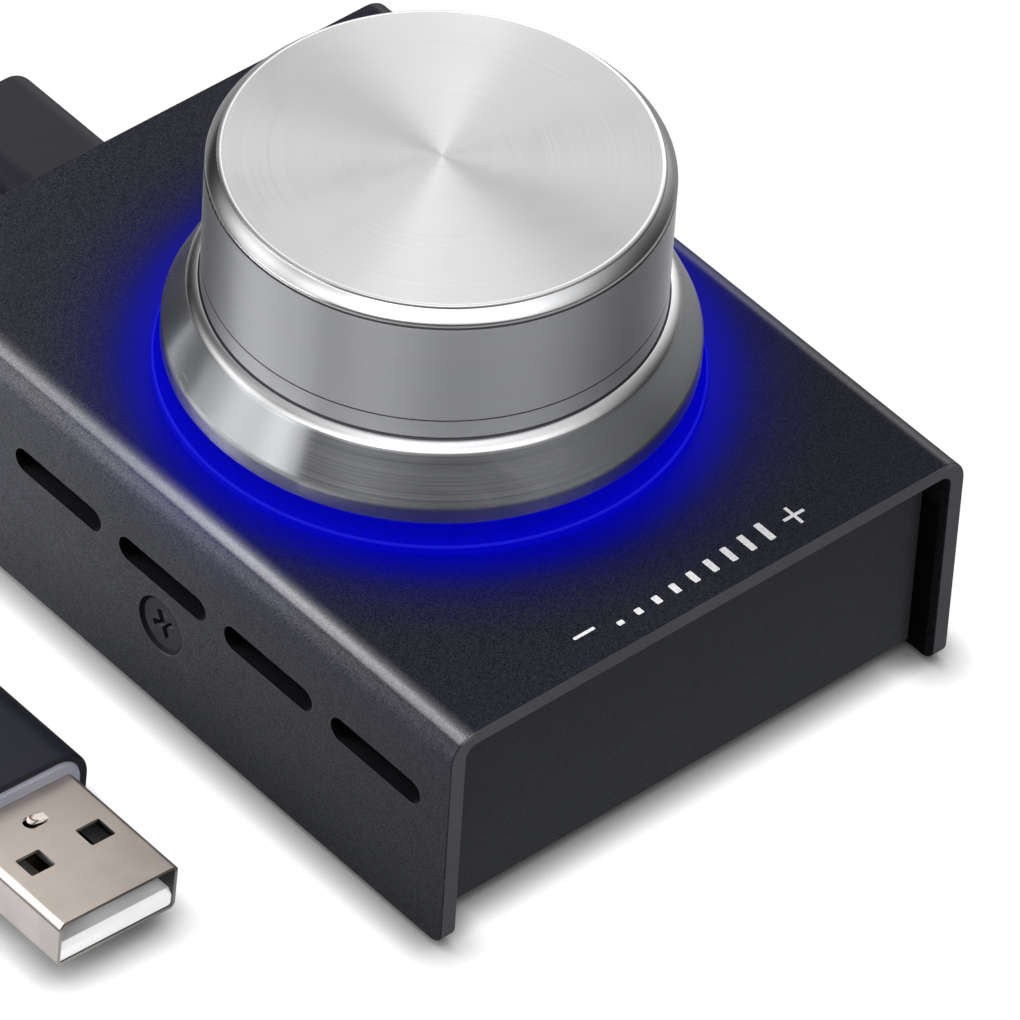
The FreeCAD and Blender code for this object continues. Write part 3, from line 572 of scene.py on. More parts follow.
def makeTie(shape, coilCentre, material):
    # A loop round the coil's section, carried through the strap's sweep. The outer face drops towards the
    # strap's rims by sink t rimDrop |w|^6, with w from -1 to 1 across it and t its thickness.
    # Outer and inner grids are joined along both rims.
    grow, slack, corner = shape["thickness"], shape["slack"], shape["corner"]
    inside, outside, low, high = shape["inner"], shape["outer"], shape["low"], shape["high"]
    outerLoop = roundedLoop(inside - grow, outside + grow, max(shape["lowest"], low - grow), high + grow,
                            corner + grow, shape["around"])
    innerLoop = roundedLoop(inside + slack, outside - slack, low + slack, high - slack, corner,
                            shape["around"])
    angle = np.radians(shape["angle"] + shape["sweep"] * (np.linspace(-0.5, 0.5, shape["across"])))
    drop = np.abs(np.linspace(-1, 1, shape["across"])) ** 6 * shape["rimDrop"]
    middle = np.array([(inside + outside) / 2, (low + high) / 2])

    def carried(loop, lowered):
        away = (loop - middle) / np.linalg.norm(loop - middle, axis=1)[:, None]
        section = loop[:, None, :] - away[:, None, :] * (grow * shape["sink"] * lowered)[None, :, None]
        r, z = section[..., 0], section[..., 1]
        return np.stack([coilCentre[0] + r * np.cos(angle), coilCentre[1] + r * np.sin(angle), z], 2)

    outer = carried(outerLoop, drop)
    inner = carried(innerLoop, np.zeros(shape["across"]))
    n, m = outer.shape[:2]
    points = np.concatenate([outer.reshape(-1, 3), inner.reshape(-1, 3)])
    index = np.arange(n * m).reshape(n, m)
    after = np.roll(index, -1, 0)
    over = np.stack([index[:, 1:], after[:, 1:], after[:, :-1], index[:, :-1]], 2).reshape(-1, 4)
    under = (over + n * m)[:, ::-1]
    near = np.stack([after[:, 0], after[:, 0] + n * m, index[:, 0] + n * m, index[:, 0]], 1)
    far = np.stack([index[:, -1] + n * m, after[:, -1] + n * m, after[:, -1], index[:, -1]], 1)
    faces = np.concatenate([over, under, near, far])
    return meshObject("cableTie", points, faces.tolist(), [material])


def tieCloth():
    # Hook-and-loop strap: a fine noisy pile over woven rows.
    material, tree, shader = newMaterial("tieCloth", Specular_IOR_Level=0.15, Sheen_Weight=0.25,
                                         Sheen_Roughness=0.5)
    place = objectCoordinates(tree)
    pile = noise(tree, place, 3200.0, 3.0, 0.75)
    wave = {"Vector": place, "Scale": 420.0, "Distortion": 3.0, "Detail": 2.0}
    rows = addNode(tree, "ShaderNodeTexWave", wave, bands_direction="Z").outputs[1]
    height = plus(tree, pile, times(tree, rows, 0.4))
    tuft = ramp(tree, height, 0.4, 0.95)
    base = mixColour(tree, tuft, rgb(0.010, 0.010, 0.012), rgb(0.034, 0.034, 0.038))
    dress(tree, shader, base, ramp(tree, pile, 0.3, 0.7, 0.8, 0.95))
    addBump(tree, shader, 0.8, 0.0001, height)
    return material


usbCable = makeCable(cableShape, cableSkin())
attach(usbCable, "case")
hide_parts("rear_lead", "cable_coil", "front_lead")
cableTie = makeTie(tieShape, cableShape["coilCentre"], tieCloth())
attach(cableTie, "case")
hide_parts("cable_tie")
print("cable laid")


markShape = {"z": 22.8, "thickness": 0.014, "baseLine": -33.55, "left": -11.9, "right": 12.3,
             "height": 2.15, "stroke": 0.30, "minusCorner": 0.08,
             "bars": 9, "barWidth": 0.62, "barCorner": 0.1, "shortest": 0.22, "gap": 2.0, "cornerPoints": 20}


def extruded(loop, centre, shape):
    # A closed outline round its centre, carried up by the marks' thickness, with a fan on each side.
    n, low = len(loop), shape["z"]
    high = low + shape["thickness"]
    rings = [np.column_stack([loop, np.full(n, level)]) for level in (low, high)]
    points = np.concatenate([*rings, [[*centre, low]], [[*centre, high]]])
    i = np.arange(n)
    j = np.roll(i, -1)
    walls = np.stack([i, j, j + n, i + n], 1).tolist()
    caps = np.concatenate([np.stack([j, i, np.full(n, 2 * n)], 1),
                           np.stack([i + n, j + n, np.full(n, 2 * n + 1)], 1)]).tolist()
    return points, walls + caps


def barMark(x, y, width, height, corner, shape):
    loop = roundedLoop(x - width / 2, x + width / 2, y - height / 2, y + height / 2, corner,
                       shape["cornerPoints"])
    return extruded(loop, (x, y), shape)


def plusMark(x, y, shape):
    # Twelve corners: one arm's end (b, -a), (b, a) and inner corner (a, a), turned through quarters.
    a, b = shape["stroke"] / 2, shape["height"] / 2
    arm = np.array([(b, -a), (b, a), (a, a)])
    turns = [np.array([(c, s), (-s, c)]) for c, s in ((1, 0), (0, 1), (-1, 0), (0, -1))]
    return extruded(np.concatenate([arm @ turn for turn in turns]) + (x, y), (x, y), shape)


def makeMarks(shape, material):
    # A minus, bars that rise evenly, and a plus, along one base line.
    size, base = shape["height"], shape["baseLine"]
    middle = base + size / 2
    shapes = [barMark(shape["left"] + size / 2, middle, size, shape["stroke"], shape["minusCorner"], shape),
              plusMark(shape["right"] - size / 2, middle, shape)]
    reach = size + shape["gap"]
    places = np.linspace(shape["left"] + reach, shape["right"] - reach, shape["bars"])
    for k, x in enumerate(places):
        tall = size * (shape["shortest"] + (1 - shape["shortest"]) * k / (shape["bars"] - 1))
        shapes.append(barMark(x, base + tall / 2, shape["barWidth"], tall, shape["barCorner"], shape))
    points, faces, start = [], [], 0
    for shapePoints, shapeFaces in shapes:
        points.append(shapePoints)
        faces += [[v + start for v in face] for face in shapeFaces]
        start += len(shapePoints)
    return meshObject("volumeMarks", np.concatenate(points), faces, [material])


def markInk():
    # Screen-printed white: slightly thin where the powder grain under it shows.
    material, tree, shader = newMaterial("markInk", Specular_IOR_Level=0.3)
    grain = useGroup(tree, grainGroup, Position=objectCoordinates(tree), Flecks=8.0)
    ink = mixColour(tree, grain["Grain"], rgb(0.62, 0.63, 0.64), rgb(0.80, 0.80, 0.80))
    dress(tree, shader, ink, ramp(tree, grain["Cloud"], 0.3, 0.7, 0.5, 0.62))
    addBump(tree, shader, 0.4, 0.00003, grain["Height"])
    return material


volumeMarks = makeMarks(markShape, markInk())
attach(volumeMarks, "case")
volumeMarks.visible_glossy = False  # white ink would sparkle in the brushed skirt
print("marks printed")


glowShape = {
    "centre": (0.0, -0.0012, 0.0228),
    "steps": (0.0212, 0.0228, 0.0245, 0.0255, 0.0265, 0.0285, 0.0325),
    # blue: the painted blue light on the plate at each radius
    "blue": (0.47, 0.355, 0.205, 0.125, 0.070, 0.030, 0.0),
    # dark: the share of the plate's colour kept at each radius, painted shade towards the knob
    "dark": (0.0, 0.02, 0.12, 0.28, 0.45, 0.72, 1.0),
}


def fromKnobAxis(tree, offset):
    return lengthOf(tree, vectorMath(tree, "MULTIPLY", offset, (1.0, 1.0, 0.0)))


def radialCurve(tree, place, radii, values):
    # Distance from the knob's axis plus the drop below the plate, carried through (radius, value) pairs.
    offset = vectorMath(tree, "SUBTRACT", place, glowShape["centre"])
    drop = mathNode(tree, "MAXIMUM", times(tree, splitVector(tree, offset)[2], -1.0), 0.0)
    distance = plus(tree, fromKnobAxis(tree, offset), drop)
    share = ramp(tree, distance, radii[0], radii[-1], smooth=False)
    node = tree.nodes.new("ShaderNodeValToRGB")
    node.color_ramp.interpolation = "B_SPLINE"
    elements = node.color_ramp.elements
    while len(elements) < len(radii):
        elements.new(0.5)
    for element, radius, value in zip(elements, radii, values):
        element.position = (radius - radii[0]) / (radii[-1] - radii[0])
        element.color = (value, value, value, 1.0)
    feed(tree, node.inputs[0], share)
    return node.outputs[0]


def blueLight(tree, level, red, green):
    # Light whose blue is the level, with those shares of it in red and green.
    channels = {0: times(tree, level, red), 1: times(tree, level, green), 2: level}
    return addNode(tree, "ShaderNodeCombineColor", channels).outputs[0]


screwShape = {"y": -0.0006, "z": 0.00907, "recess": 0.0014, "under": (0.02655, 0.02664)}


def fromScrewAxis(tree, place):
    # Distance from the axis of the side screws, which runs along x.
    offset = vectorMath(tree, "SUBTRACT", place, (0.0, screwShape["y"], screwShape["z"]))
    return lengthOf(tree, vectorMath(tree, "MULTIPLY", offset, (0.0, 1.0, 1.0)))


coverCoat = {"dark": (0.0040, 0.0042, 0.0052), "light": (0.0244, 0.0252, 0.0287),
             "cut": (0.050, 0.051, 0.056), "roughness": (0.44, 0.54), "specular": 0.05,
             "flecks": 9.0, "paintedFootLight": 1.05}
trayCoat = {"dark": (0.0168, 0.0174, 0.0198), "light": (0.0240, 0.0248, 0.0276),
            "cut": (0.03, 0.03, 0.033), "roughness": (0.50, 0.60), "specular": 0.05,
            "flecks": 11.0, "paintedFootLight": 1.25}
# where each of the cover's masks rises or falls, in metres along |x|, |y| or z
coverZones = {
    "cutY": (0.0349, 0.0355),
    "innerX": (0.0252, 0.0254), "innerY": (0.0345, 0.0348), "innerZ": (0.0165, 0.0185),
    # innerColour: painted shade on the inner walls; sunkColour: painted shade in the countersinks
    "innerColour": (0.0030, 0.0030, 0.0036),
    "sunkRadius": (0.0029, 0.0031), "sunkX": (0.02695, 0.02699), "sunkColour": (0.0040, 0.0042, 0.0050),
    "bendX": 0.0244, "bendZ": 0.0202, "plateZ": (0.0195, 0.0215), "litZ": (0.0165, 0.0205),
    "shineX": (0.0246, 0.0253), "shineZ": (0.0220, 0.02225), "shineY": (-0.012, 0.012),
    "shine": 0.62, "shineRoughness": 0.36, "shineIor": 2.1,
}


def coverDetails(tree, shader, coat, place, grain, base):
    # What only the cover has: cut ends painted paler as painted light (|n.y| near 1 at the ends of the case),
    # inner walls and countersinks painted dark as painted shade, painted blue light from the lit ring on its
    # outer faces, and a shine along the top of its bends.
    # Gives back the colour and the countersinks' mask.
    zones = coverZones
    normalVector = surfaceNormal(tree)
    normal, axes = splitVector(tree, normalVector), splitVector(tree, place)
    side = mathNode(tree, "SIGN", axes[0])
    acrossX, alongY, z = absolute(tree, axes[0]), absolute(tree, axes[1]), axes[2]

    # painted light: the cut ends are painted paler than the end plate, which faces the same way
    cut = times(tree, ramp(tree, absolute(tree, normal[1]), 0.75, 0.95), ramp(tree, alongY, *zones["cutY"]))
    cloud = ramp(tree, grain["Cloud"], 0.35, 0.65)
    base = mixColour(tree, cut, base, mixColour(tree, cloud, scaled(coat["cut"], 0.88), rgb(*coat["cut"])))

    # painted shade: the inner faces of the walls, seen through the slots, are painted near black
    inner = times(tree, ramp(tree, acrossX, *zones["innerX"]),
                  ramp(tree, times(tree, normal[0], side), 0.3, 0.6, 1.0, 0.0),
                  ramp(tree, alongY, *zones["innerY"], 1.0, 0.0), ramp(tree, z, *zones["innerZ"], 1.0, 0.0))
    base = mixColour(tree, inner, base, rgb(*zones["innerColour"]))
    # painted shade: the countersinks round the screws are painted dark, and made fully rough
    sunk = times(tree, ramp(tree, fromScrewAxis(tree, place), *zones["sunkRadius"], 1.0, 0.0),
                 ramp(tree, acrossX, *zones["sunkX"], 1.0, 0.0))
    base = mixColour(tree, sunk, base, rgb(*zones["sunkColour"]))

    # painted shade: the plate darkens towards the knob, where the painted blue light takes over
    onTop = times(tree, ramp(tree, normal[2], 0.5, 0.95), ramp(tree, z, *zones["plateZ"]))
    kept = radialCurve(tree, place, glowShape["steps"], glowShape["dark"])
    dim = inverse(tree, times(tree, onTop, inverse(tree, kept)))
    base = mixColour(tree, 1.0, base, dim, "MULTIPLY")

    # away from the middle line of the bends, or straight up between them
    beyond = mathNode(tree, "MAXIMUM", mathNode(tree, "SUBTRACT", acrossX, zones["bendX"]), 0.0)
    above = mathNode(tree, "MAXIMUM", mathNode(tree, "SUBTRACT", z, zones["bendZ"]), 0.00001)
    outward = vectorMath(tree, "NORMALIZE", joinVector(tree, times(tree, beyond, side), 0.0, above))
    outer = times(tree, ramp(tree, z, *zones["litZ"]), ramp(tree, dot(tree, outward, normalVector), 0.3, 0.5))
    # painted light: the lit ring's blue, spread over the plate and the bends as emission
    light = times(tree, outer, radialCurve(tree, place, glowShape["steps"], glowShape["blue"]),
                  ramp(tree, grain["Grain"], 0.0, 1.0, 0.93, 1.05, False))
    feed(tree, shader["Emission Color"], blueLight(tree, light, 0.001, 0.002))
    shader["Emission Strength"].default_value = 1.0

    shine = times(tree, ramp(tree, acrossX, *zones["shineX"]), ramp(tree, z, *zones["shineZ"]),
                  ramp(tree, axes[1], *zones["shineY"], 1.0, 0.5))
    rubbed = ramp(tree, grain["Grain"], 0.0, 1.0, 0.75 * zones["shine"], zones["shine"], False)
    feed(tree, shader["Coat Weight"], times(tree, shine, rubbed))
    shader["Coat Roughness"].default_value = zones["shineRoughness"]
    shader["Coat IOR"].default_value = zones["shineIor"]
    return base, sunk


def powderCoat(name, coat, isCover):
    # Black powder coat on sheet steel: grain in colour and height, painted light that makes it paler towards
    # the foot, and a thin rub on the edges.
    material, tree, shader = newMaterial(name, Specular_IOR_Level=coat["specular"])
    place = objectCoordinates(tree)
    grain = useGroup(tree, grainGroup, Position=place, Flecks=coat["flecks"])
    base = mixColour(tree, grain["Grain"], rgb(*coat["dark"]), rgb(*coat["light"]))
    worn = useGroup(tree, edgeGroup, Position=place, Radius=0.00022, Break=0.8)
    base = mixColour(tree, times(tree, worn["Mask"], 0.22), base, rgb(*coat["cut"]))
    # painted light: paler towards the foot, lifting the shade near the floor
    low = ramp(tree, splitVector(tree, place)[2], 0.0, 0.018, coat["paintedFootLight"], 1.0)
    base = mixColour(tree, 1.0, base, low, "MULTIPLY")
    rough = ramp(tree, grain["Cloud"], 0.3, 0.7, *coat["roughness"])
    if isCover:
        base, sunk = coverDetails(tree, shader, coat, place, grain, base)
        rough = mathNode(tree, "MAXIMUM", rough, sunk)
    dress(tree, shader, base, rough)
    addBump(tree, shader, 0.35, 0.00006, grain["Height"])
    return material


def bareMetal(name, colour, roughness, grainAxis="Y", grain=0.5, wear=0.3, dirt=0.0, anisotropic=0.0):
    # Metal with drawn or rolled lines along one axis, bright worn edges and cloudy gloss.
    # The lines are noise of the position squeezed to a fiftieth along that axis.
    material, tree, shader = newMaterial(name, Metallic=1.0, Anisotropic=anisotropic)
    place = objectCoordinates(tree)
    squeeze = [0.02 if axis == grainAxis else 1.0 for axis in "XYZ"]
    drawn = addNode(tree, "ShaderNodeMapping", {"Vector": place, "Scale": squeeze}).outputs[0]
    lines = noise(tree, drawn, 9000.0, 2.0, 0.6)
    cloud = noise(tree, place, 260.0, 4.0, 0.55, 0.4)
    dull = scaled(colour, 1 - 0.16 * grain)
    base = mixColour(tree, ramp(tree, lines, 0.3, 0.7), dull, rgb(*colour))
    if dirt:
        base = mixColour(tree, ramp(tree, cloud, 0.45, 0.8, 0.0, dirt), base, scaled(colour, 0.45))
    worn = useGroup(tree, edgeGroup, Position=place, Radius=0.0002, Break=0.6)
    pale = scaled(colour, 1.12, 0.03)
    base = mixColour(tree, times(tree, worn["Mask"], wear), base, pale)
    feed(tree, shader["Base Color"], base)
    rough = ramp(tree, lines, 0.25, 0.75, roughness * (1 - 0.25 * grain), roughness * (1 + 0.25 * grain))
    feed(tree, shader["Roughness"], plus(tree, rough, ramp(tree, cloud, 0.4, 0.8, 0.0, 0.06)))
    addBump(tree, shader, 0.25 * grain, 0.00003, lines)
    return material


def mouldedPlastic(name, colour, roughness, specular=0.35, flecks=6.0, texture=0.3, vary=0.12, scuff=0.2,
                   subsurface=0.0, edge=1.5):
    # Moulded plastic: spark-eroded skin, a slow tone drift, faint scuffs and softened pale edges.
    material, tree, shader = newMaterial(name, Specular_IOR_Level=specular)
    if subsurface:
        shader["Subsurface Weight"].default_value = subsurface
        shader["Subsurface Radius"].default_value = (1.0, 0.9, 0.8)
        shader["Subsurface Scale"].default_value = 0.0008
    place = objectCoordinates(tree)
    skin = useGroup(tree, skinGroup, Position=place, Flecks=flecks)
    tone = ramp(tree, skin["Tone"], 0.35, 0.65)
    base = mixColour(tree, tone, scaled(colour, 1 - vary), scaled(colour, 1 + vary))
    pale = scaled(colour, edge, 0.012)
    worn = useGroup(tree, edgeGroup, Position=place, Radius=0.0003, Break=0.5)
    base = mixColour(tree, times(tree, worn["Mask"], 0.4), base, pale)
    base = mixColour(tree, times(tree, skin["Scuff"], scuff), base, pale)
    feed(tree, shader["Base Color"], base)
    rough = ramp(tree, skin["Tone"], 0.3, 0.7, roughness - 0.04, roughness + 0.04)
    feed(tree, shader["Roughness"], plus(tree, rough, times(tree, skin["Scuff"], 0.08)))
    addBump(tree, shader, texture, 0.00005, skin["Height"])
    return material


def zoned(name, maskOf, first, second, roughness, specular=0.4):
    # A moulded body (mask 0) and its bright metal (mask 1) on one piece, parted by position.
    material, tree, shader = newMaterial(name, Specular_IOR_Level=specular)
    place = objectCoordinates(tree)
    skin = useGroup(tree, skinGroup, Position=place, Flecks=9.0)
    mask = maskOf(tree, splitVector(tree, place))
    drift = ramp(tree, skin["Tone"], 0.3, 0.7, 0.85, 1.1, False)
    colour = mixColour(tree, mask, rgb(*first), rgb(*second))
    feed(tree, shader["Base Color"], mixColour(tree, 1.0, colour, drift, "MULTIPLY"))
    feed(tree, shader["Metallic"], ramp(tree, mask, 0.0, 1.0, smooth=False))
    rough = ramp(tree, mask, 0.0, 1.0, roughness[0], roughness[1], False)
    rough = plus(tree, rough, ramp(tree, skin["Tone"], 0.3, 0.7, -0.03, 0.05))
    feed(tree, shader["Roughness"], rough)
    addBump(tree, shader, 0.3, 0.00004, skin["Height"])
    return material


def boardMask():
    # Solder mask over copper: tracks are the edges of a blocky Voronoi pattern, which stand a little proud,
    # with a paler line of mask over them; the cut sides of the board show the glass laminate.
    material, tree, shader = newMaterial("boardMask", Specular_IOR_Level=0.5)
    place = objectCoordinates(tree)
    blocks = {"Vector": place, "Scale": 330.0, "Randomness": 0.75}
    second, first = [addNode(tree, "ShaderNodeTexVoronoi", blocks, distance="CHEBYCHEV",
                             feature=feature).outputs["Distance"] for feature in ("F2", "F1")]
    track = ramp(tree, mathNode(tree, "SUBTRACT", second, first), 0.10, 0.16, 1.0, 0.0)
    cloud = noise(tree, place, 300.0, 3.0, 0.5)
    mask = mixColour(tree, track, rgb(0.004, 0.035, 0.016), rgb(0.012, 0.085, 0.036))
    mask = mixColour(tree, ramp(tree, cloud, 0.3, 0.8, 0.0, 0.35), mask, rgb(0.006, 0.050, 0.024))
    normal = splitVector(tree, surfaceNormal(tree))
    sideways = ramp(tree, absolute(tree, normal[2]), 0.4, 0.6, 1.0, 0.0)
    weave = noise(tree, place, 4000.0, 2.0)
    laminate = mixColour(tree, weave, rgb(0.040, 0.037, 0.018), rgb(0.075, 0.070, 0.040))
    dress(tree, shader, mixColour(tree, sideways, mask, laminate), ramp(tree, cloud, 0.3, 0.7, 0.28, 0.40))
    addBump(tree, shader, 0.5, 0.00004, track)
    return material


def guideGlow():
    # Frosted light guide: even blue light, with one thin pale line painted as a highlight along the disc's
    # top edge.
    material, tree, shader = newMaterial("guideGlow", Specular_IOR_Level=0.0, Emission_Strength=1.0)
    place = objectCoordinates(tree)
    body = radialCurve(tree, place, (0.0080, 0.0150, 0.0210, 0.0218, 0.0224, 0.0228, 0.0236),
                       (0.22, 0.30, 0.40, 0.48, 0.47, 0.42, 0.36))
    offset = vectorMath(tree, "SUBTRACT", place, glowShape["centre"])
    # painted highlight: a thin pale line along the guide's top edge
    edge = times(tree, ramp(tree, fromKnobAxis(tree, offset), 0.02214, 0.02222),
                 ramp(tree, splitVector(tree, place)[2], 0.02340, 0.02348))
    haze = ramp(tree, noise(tree, place, 1500.0, 3.0, 0.6), 0.3, 0.7, 0.95, 1.05)
    level = plus(tree, times(tree, body, haze), times(tree, edge, 0.15))
    pale = plus(tree, 0.0008, times(tree, edge, 0.009))
    blue = addNode(tree, "ShaderNodeCombineColor", {0: pale, 1: pale, 2: level})
    feed(tree, shader["Emission Color"], blue.outputs[0])
    base = mixColour(tree, haze, rgb(0.0006, 0.0007, 0.012), rgb(0.001, 0.0012, 0.018))
    dress(tree, shader, base, ramp(tree, haze, 0.95, 1.05, 0.45, 0.6))
    addBump(tree, shader, 0.3, 0.00004, haze)
    return material


def lampResin():
    # Blue lamp resin: the chip's light shows through the crown, and the body has fine flow marks.
    material, tree, shader = newMaterial("lampResin", Specular_IOR_Level=0.5, Emission_Strength=1.4)
    place = objectCoordinates(tree)
    flow = noise(tree, place, 900.0, 3.0, 0.5, 0.5)
    crown = ramp(tree, splitVector(tree, place)[2], 0.0165, 0.0212, 0.05, 1.0)
    light = times(tree, crown, ramp(tree, flow, 0.3, 0.7, 0.85, 1.1))
    feed(tree, shader["Emission Color"], blueLight(tree, light, 0.02, 0.06))
    dress(tree, shader, mixColour(tree, flow, rgb(0.03, 0.05, 0.30), rgb(0.06, 0.10, 0.45)),
          ramp(tree, flow, 0.3, 0.7, 0.14, 0.26))
    addBump(tree, shader, 0.15, 0.00005, flow)
    return material


def chipMask(tree, axes):
    # Leads: everything further than the body's half width from the chip's middle line.
    return ramp(tree, absolute(tree, plus(tree, axes[1], 0.018)), 0.00196, 0.00202)


def canMask(tree, axes):
    # The capacitor's can starts above its square base.
    return ramp(tree, axes[2], 0.0150, 0.0152)


def resistorMask(tree, axes):
    # Resistor ends: further than 0.65 mm from the middle of their row; the rows stand 5 mm apart.
    along = mathNode(tree, "FLOORED_MODULO", mathNode(tree, "SUBTRACT", axes[1], 0.0115), 0.0050)
    return ramp(tree, absolute(tree, mathNode(tree, "SUBTRACT", along, 0.0025)), 0.00062, 0.00068)


plugShape = {"centre": (-0.04725, 0.0, 0.00425), "roll": 3.0, "mouth": -0.0201,
             "tab": (-0.04725, -0.0096, 0.0064)}


def plugCoordinates(tree):
    # Position from the plug's own axis, turned back by its roll.
    inputs = {"Vector": objectCoordinates(tree), "Location": plugShape["centre"],
              "Rotation": (0.0, math.radians(plugShape["roll"]), 0.0)}
    return addNode(tree, "ShaderNodeMapping", inputs, vector_type="TEXTURE").outputs[0]


plugFinish = {
    "plate": ((0.490, 0.428, 0.380), (0.532, 0.470, 0.423)), "drawn": (0.570, 0.508, 0.461),
    # upright: the paler colour of the side faces, painted light
    "upright": (0.585, 0.545, 0.53), "worn": (0.62, 0.56, 0.51),
    # a dark line below the rounded top edge, painted shade
    "paintedEdgeShade": (0.10, 0.075, 0.055), "paintedEdgeShadeZ": (0.00148, 0.00172),
    # lip: the brown cut, and its paler lower lip, painted light
    "lip": ((0.52, 0.49, 0.47), (0.21, 0.17, 0.145)), "lipZ": (0.0014, 0.0019),
    # inside: painted shade on the shell's inner faces
    "inside": (0.020, 0.019, 0.018),
    # tab: painted light on the lanced tab; the next line is the painted shadow round its gap
    "tab": (0.74, 0.68, 0.62), "tabReach": (0.0014, 0.0016), "tabTilt": (0.978, 0.990),
    "tabGapShadow": (0.17, 0.12, 0.09), "tabGapShadowReach": (0.00048, 0.00066), "tabGapShadowX": (-0.0001, 0.0002),
    "soft": 0.00006,
}


def plugSteel(finish):
    # Nickel-plated shell: smooth and warm, with cloudy gloss. Its inner faces (normal towards the axis)
    # are painted dark as painted shade, the upright sides are painted paler as painted light, the cut at the
    # mouth is brown and painted paler along the lower lip as painted light, and the lanced tab is matt and
    # painted pale as painted light, with a painted shadow round its gap.
    material, tree, shader = newMaterial("plugSteel")
    place = plugCoordinates(tree)
    axes = splitVector(tree, place)
    normalVector = surfaceNormal(tree)
    normal = splitVector(tree, normalVector)
    drawn = addNode(tree, "ShaderNodeMapping", {"Vector": place, "Scale": (0.04, 1.0, 1.0)}).outputs[0]
    lines = noise(tree, drawn, 5000.0, 2.0, 0.6)
    cloud = noise(tree, place, 420.0, 3.0, 0.55, 0.3)
    base = mixColour(tree, ramp(tree, cloud, 0.3, 0.7), *[rgb(*colour) for colour in finish["plate"]])
    base = mixColour(tree, ramp(tree, lines, 0.3, 0.7, 0.0, 0.25), base, rgb(*finish["drawn"]))
    # painted light: the upright side faces are painted paler than the top
    upright = ramp(tree, absolute(tree, normal[0]), 0.6, 0.9)
    base = mixColour(tree, upright, base, rgb(*finish["upright"]))
    worn = useGroup(tree, edgeGroup, Position=place, Radius=0.00016, Break=0.3)
    base = mixColour(tree, times(tree, worn["Mask"], 0.45), base, rgb(*finish["worn"]))
    # painted shade: a dark line where the rounded top edge ends
    paintedEdgeShade = times(tree, band(tree, axes[2], *finish["paintedEdgeShadeZ"], finish["soft"]), upright)
    base = mixColour(tree, times(tree, paintedEdgeShade, 0.75), base, rgb(*finish["paintedEdgeShade"]))
    # the cut at the mouth is brown, and painted paler along the lower lip as painted light
    cut = times(tree, ramp(tree, normal[1], -0.9, -0.6, 1.0, 0.0),
                ramp(tree, axes[1], plugShape["mouth"] + 0.0001, plugShape["mouth"] + 0.0004, 1.0, 0.0))
    lip = mixColour(tree, ramp(tree, axes[2], *finish["lipZ"]), *[rgb(*colour) for colour in finish["lip"]])
    base = mixColour(tree, cut, base, lip)
    # painted shade: the shell's inner faces are painted near black
    across = vectorMath(tree, "MULTIPLY", place, (1.0, 0.0, 1.0))
    inner = ramp(tree, dot(tree, across, normalVector), -0.0010, -0.0004, 1.0, 0.0)
    base = mixColour(tree, inner, base, rgb(*finish["inside"]))
    # painted light: the lanced tab is painted pale and matt; painted shadow: a C-shaped dark band round its
    # gap
    reach = vectorMath(tree, "DISTANCE", objectCoordinates(tree), plugShape["tab"], output=1)
    # the tab leans 14 degrees, so its face leaves the plane of the shell
    tab = times(tree, ramp(tree, reach, *finish["tabReach"], 1.0, 0.0),
                ramp(tree, normal[2], *finish["tabTilt"], 1.0, 0.0))
    tabGapShadow = times(tree, band(tree, reach, *finish["tabGapShadowReach"], finish["soft"]),
                   ramp(tree, axes[0], *finish["tabGapShadowX"], 1.0, 0.0))
    base = mixColour(tree, tab, base, mixColour(tree, tabGapShadow, rgb(*finish["tab"]), rgb(*finish["tabGapShadow"])))
    feed(tree, shader["Base Color"], base)
    shiny = [inverse(tree, times(tree, mask, 0.9)) for mask in (tab, inner)]
    feed(tree, shader["Metallic"], times(tree, *shiny))
    feed(tree, shader["Roughness"], ramp(tree, cloud, 0.3, 0.7, 0.38, 0.45))
    addBump(tree, shader, 0.04, 0.00002, lines)
    return material


def plugInside(name, colour, metallic, roughness, clear, deep, kept):
    # A part inside the plug's mouth: its own colour at the front, and darkened as painted shade past the
    # first few millimetres.
    material, tree, shader = newMaterial(name, Specular_IOR_Level=0.4, Metallic=metallic)
    place = plugCoordinates(tree)
    skin = useGroup(tree, skinGroup, Position=place, Flecks=6.0)
    tone = mixColour(tree, ramp(tree, skin["Tone"], 0.35, 0.65), scaled(colour, 0.96), rgb(*colour))
    # painted shade: darker with depth into the mouth
    depth = ramp(tree, splitVector(tree, place)[1], plugShape["mouth"] + clear, plugShape["mouth"] + deep)
    dress(tree, shader, mixColour(tree, depth, tone, scaled(colour, kept)),
          ramp(tree, skin["Tone"], 0.3, 0.7, roughness - 0.04, roughness + 0.04))
    addBump(tree, shader, 0.12, 0.00004, skin["Height"])
    return material


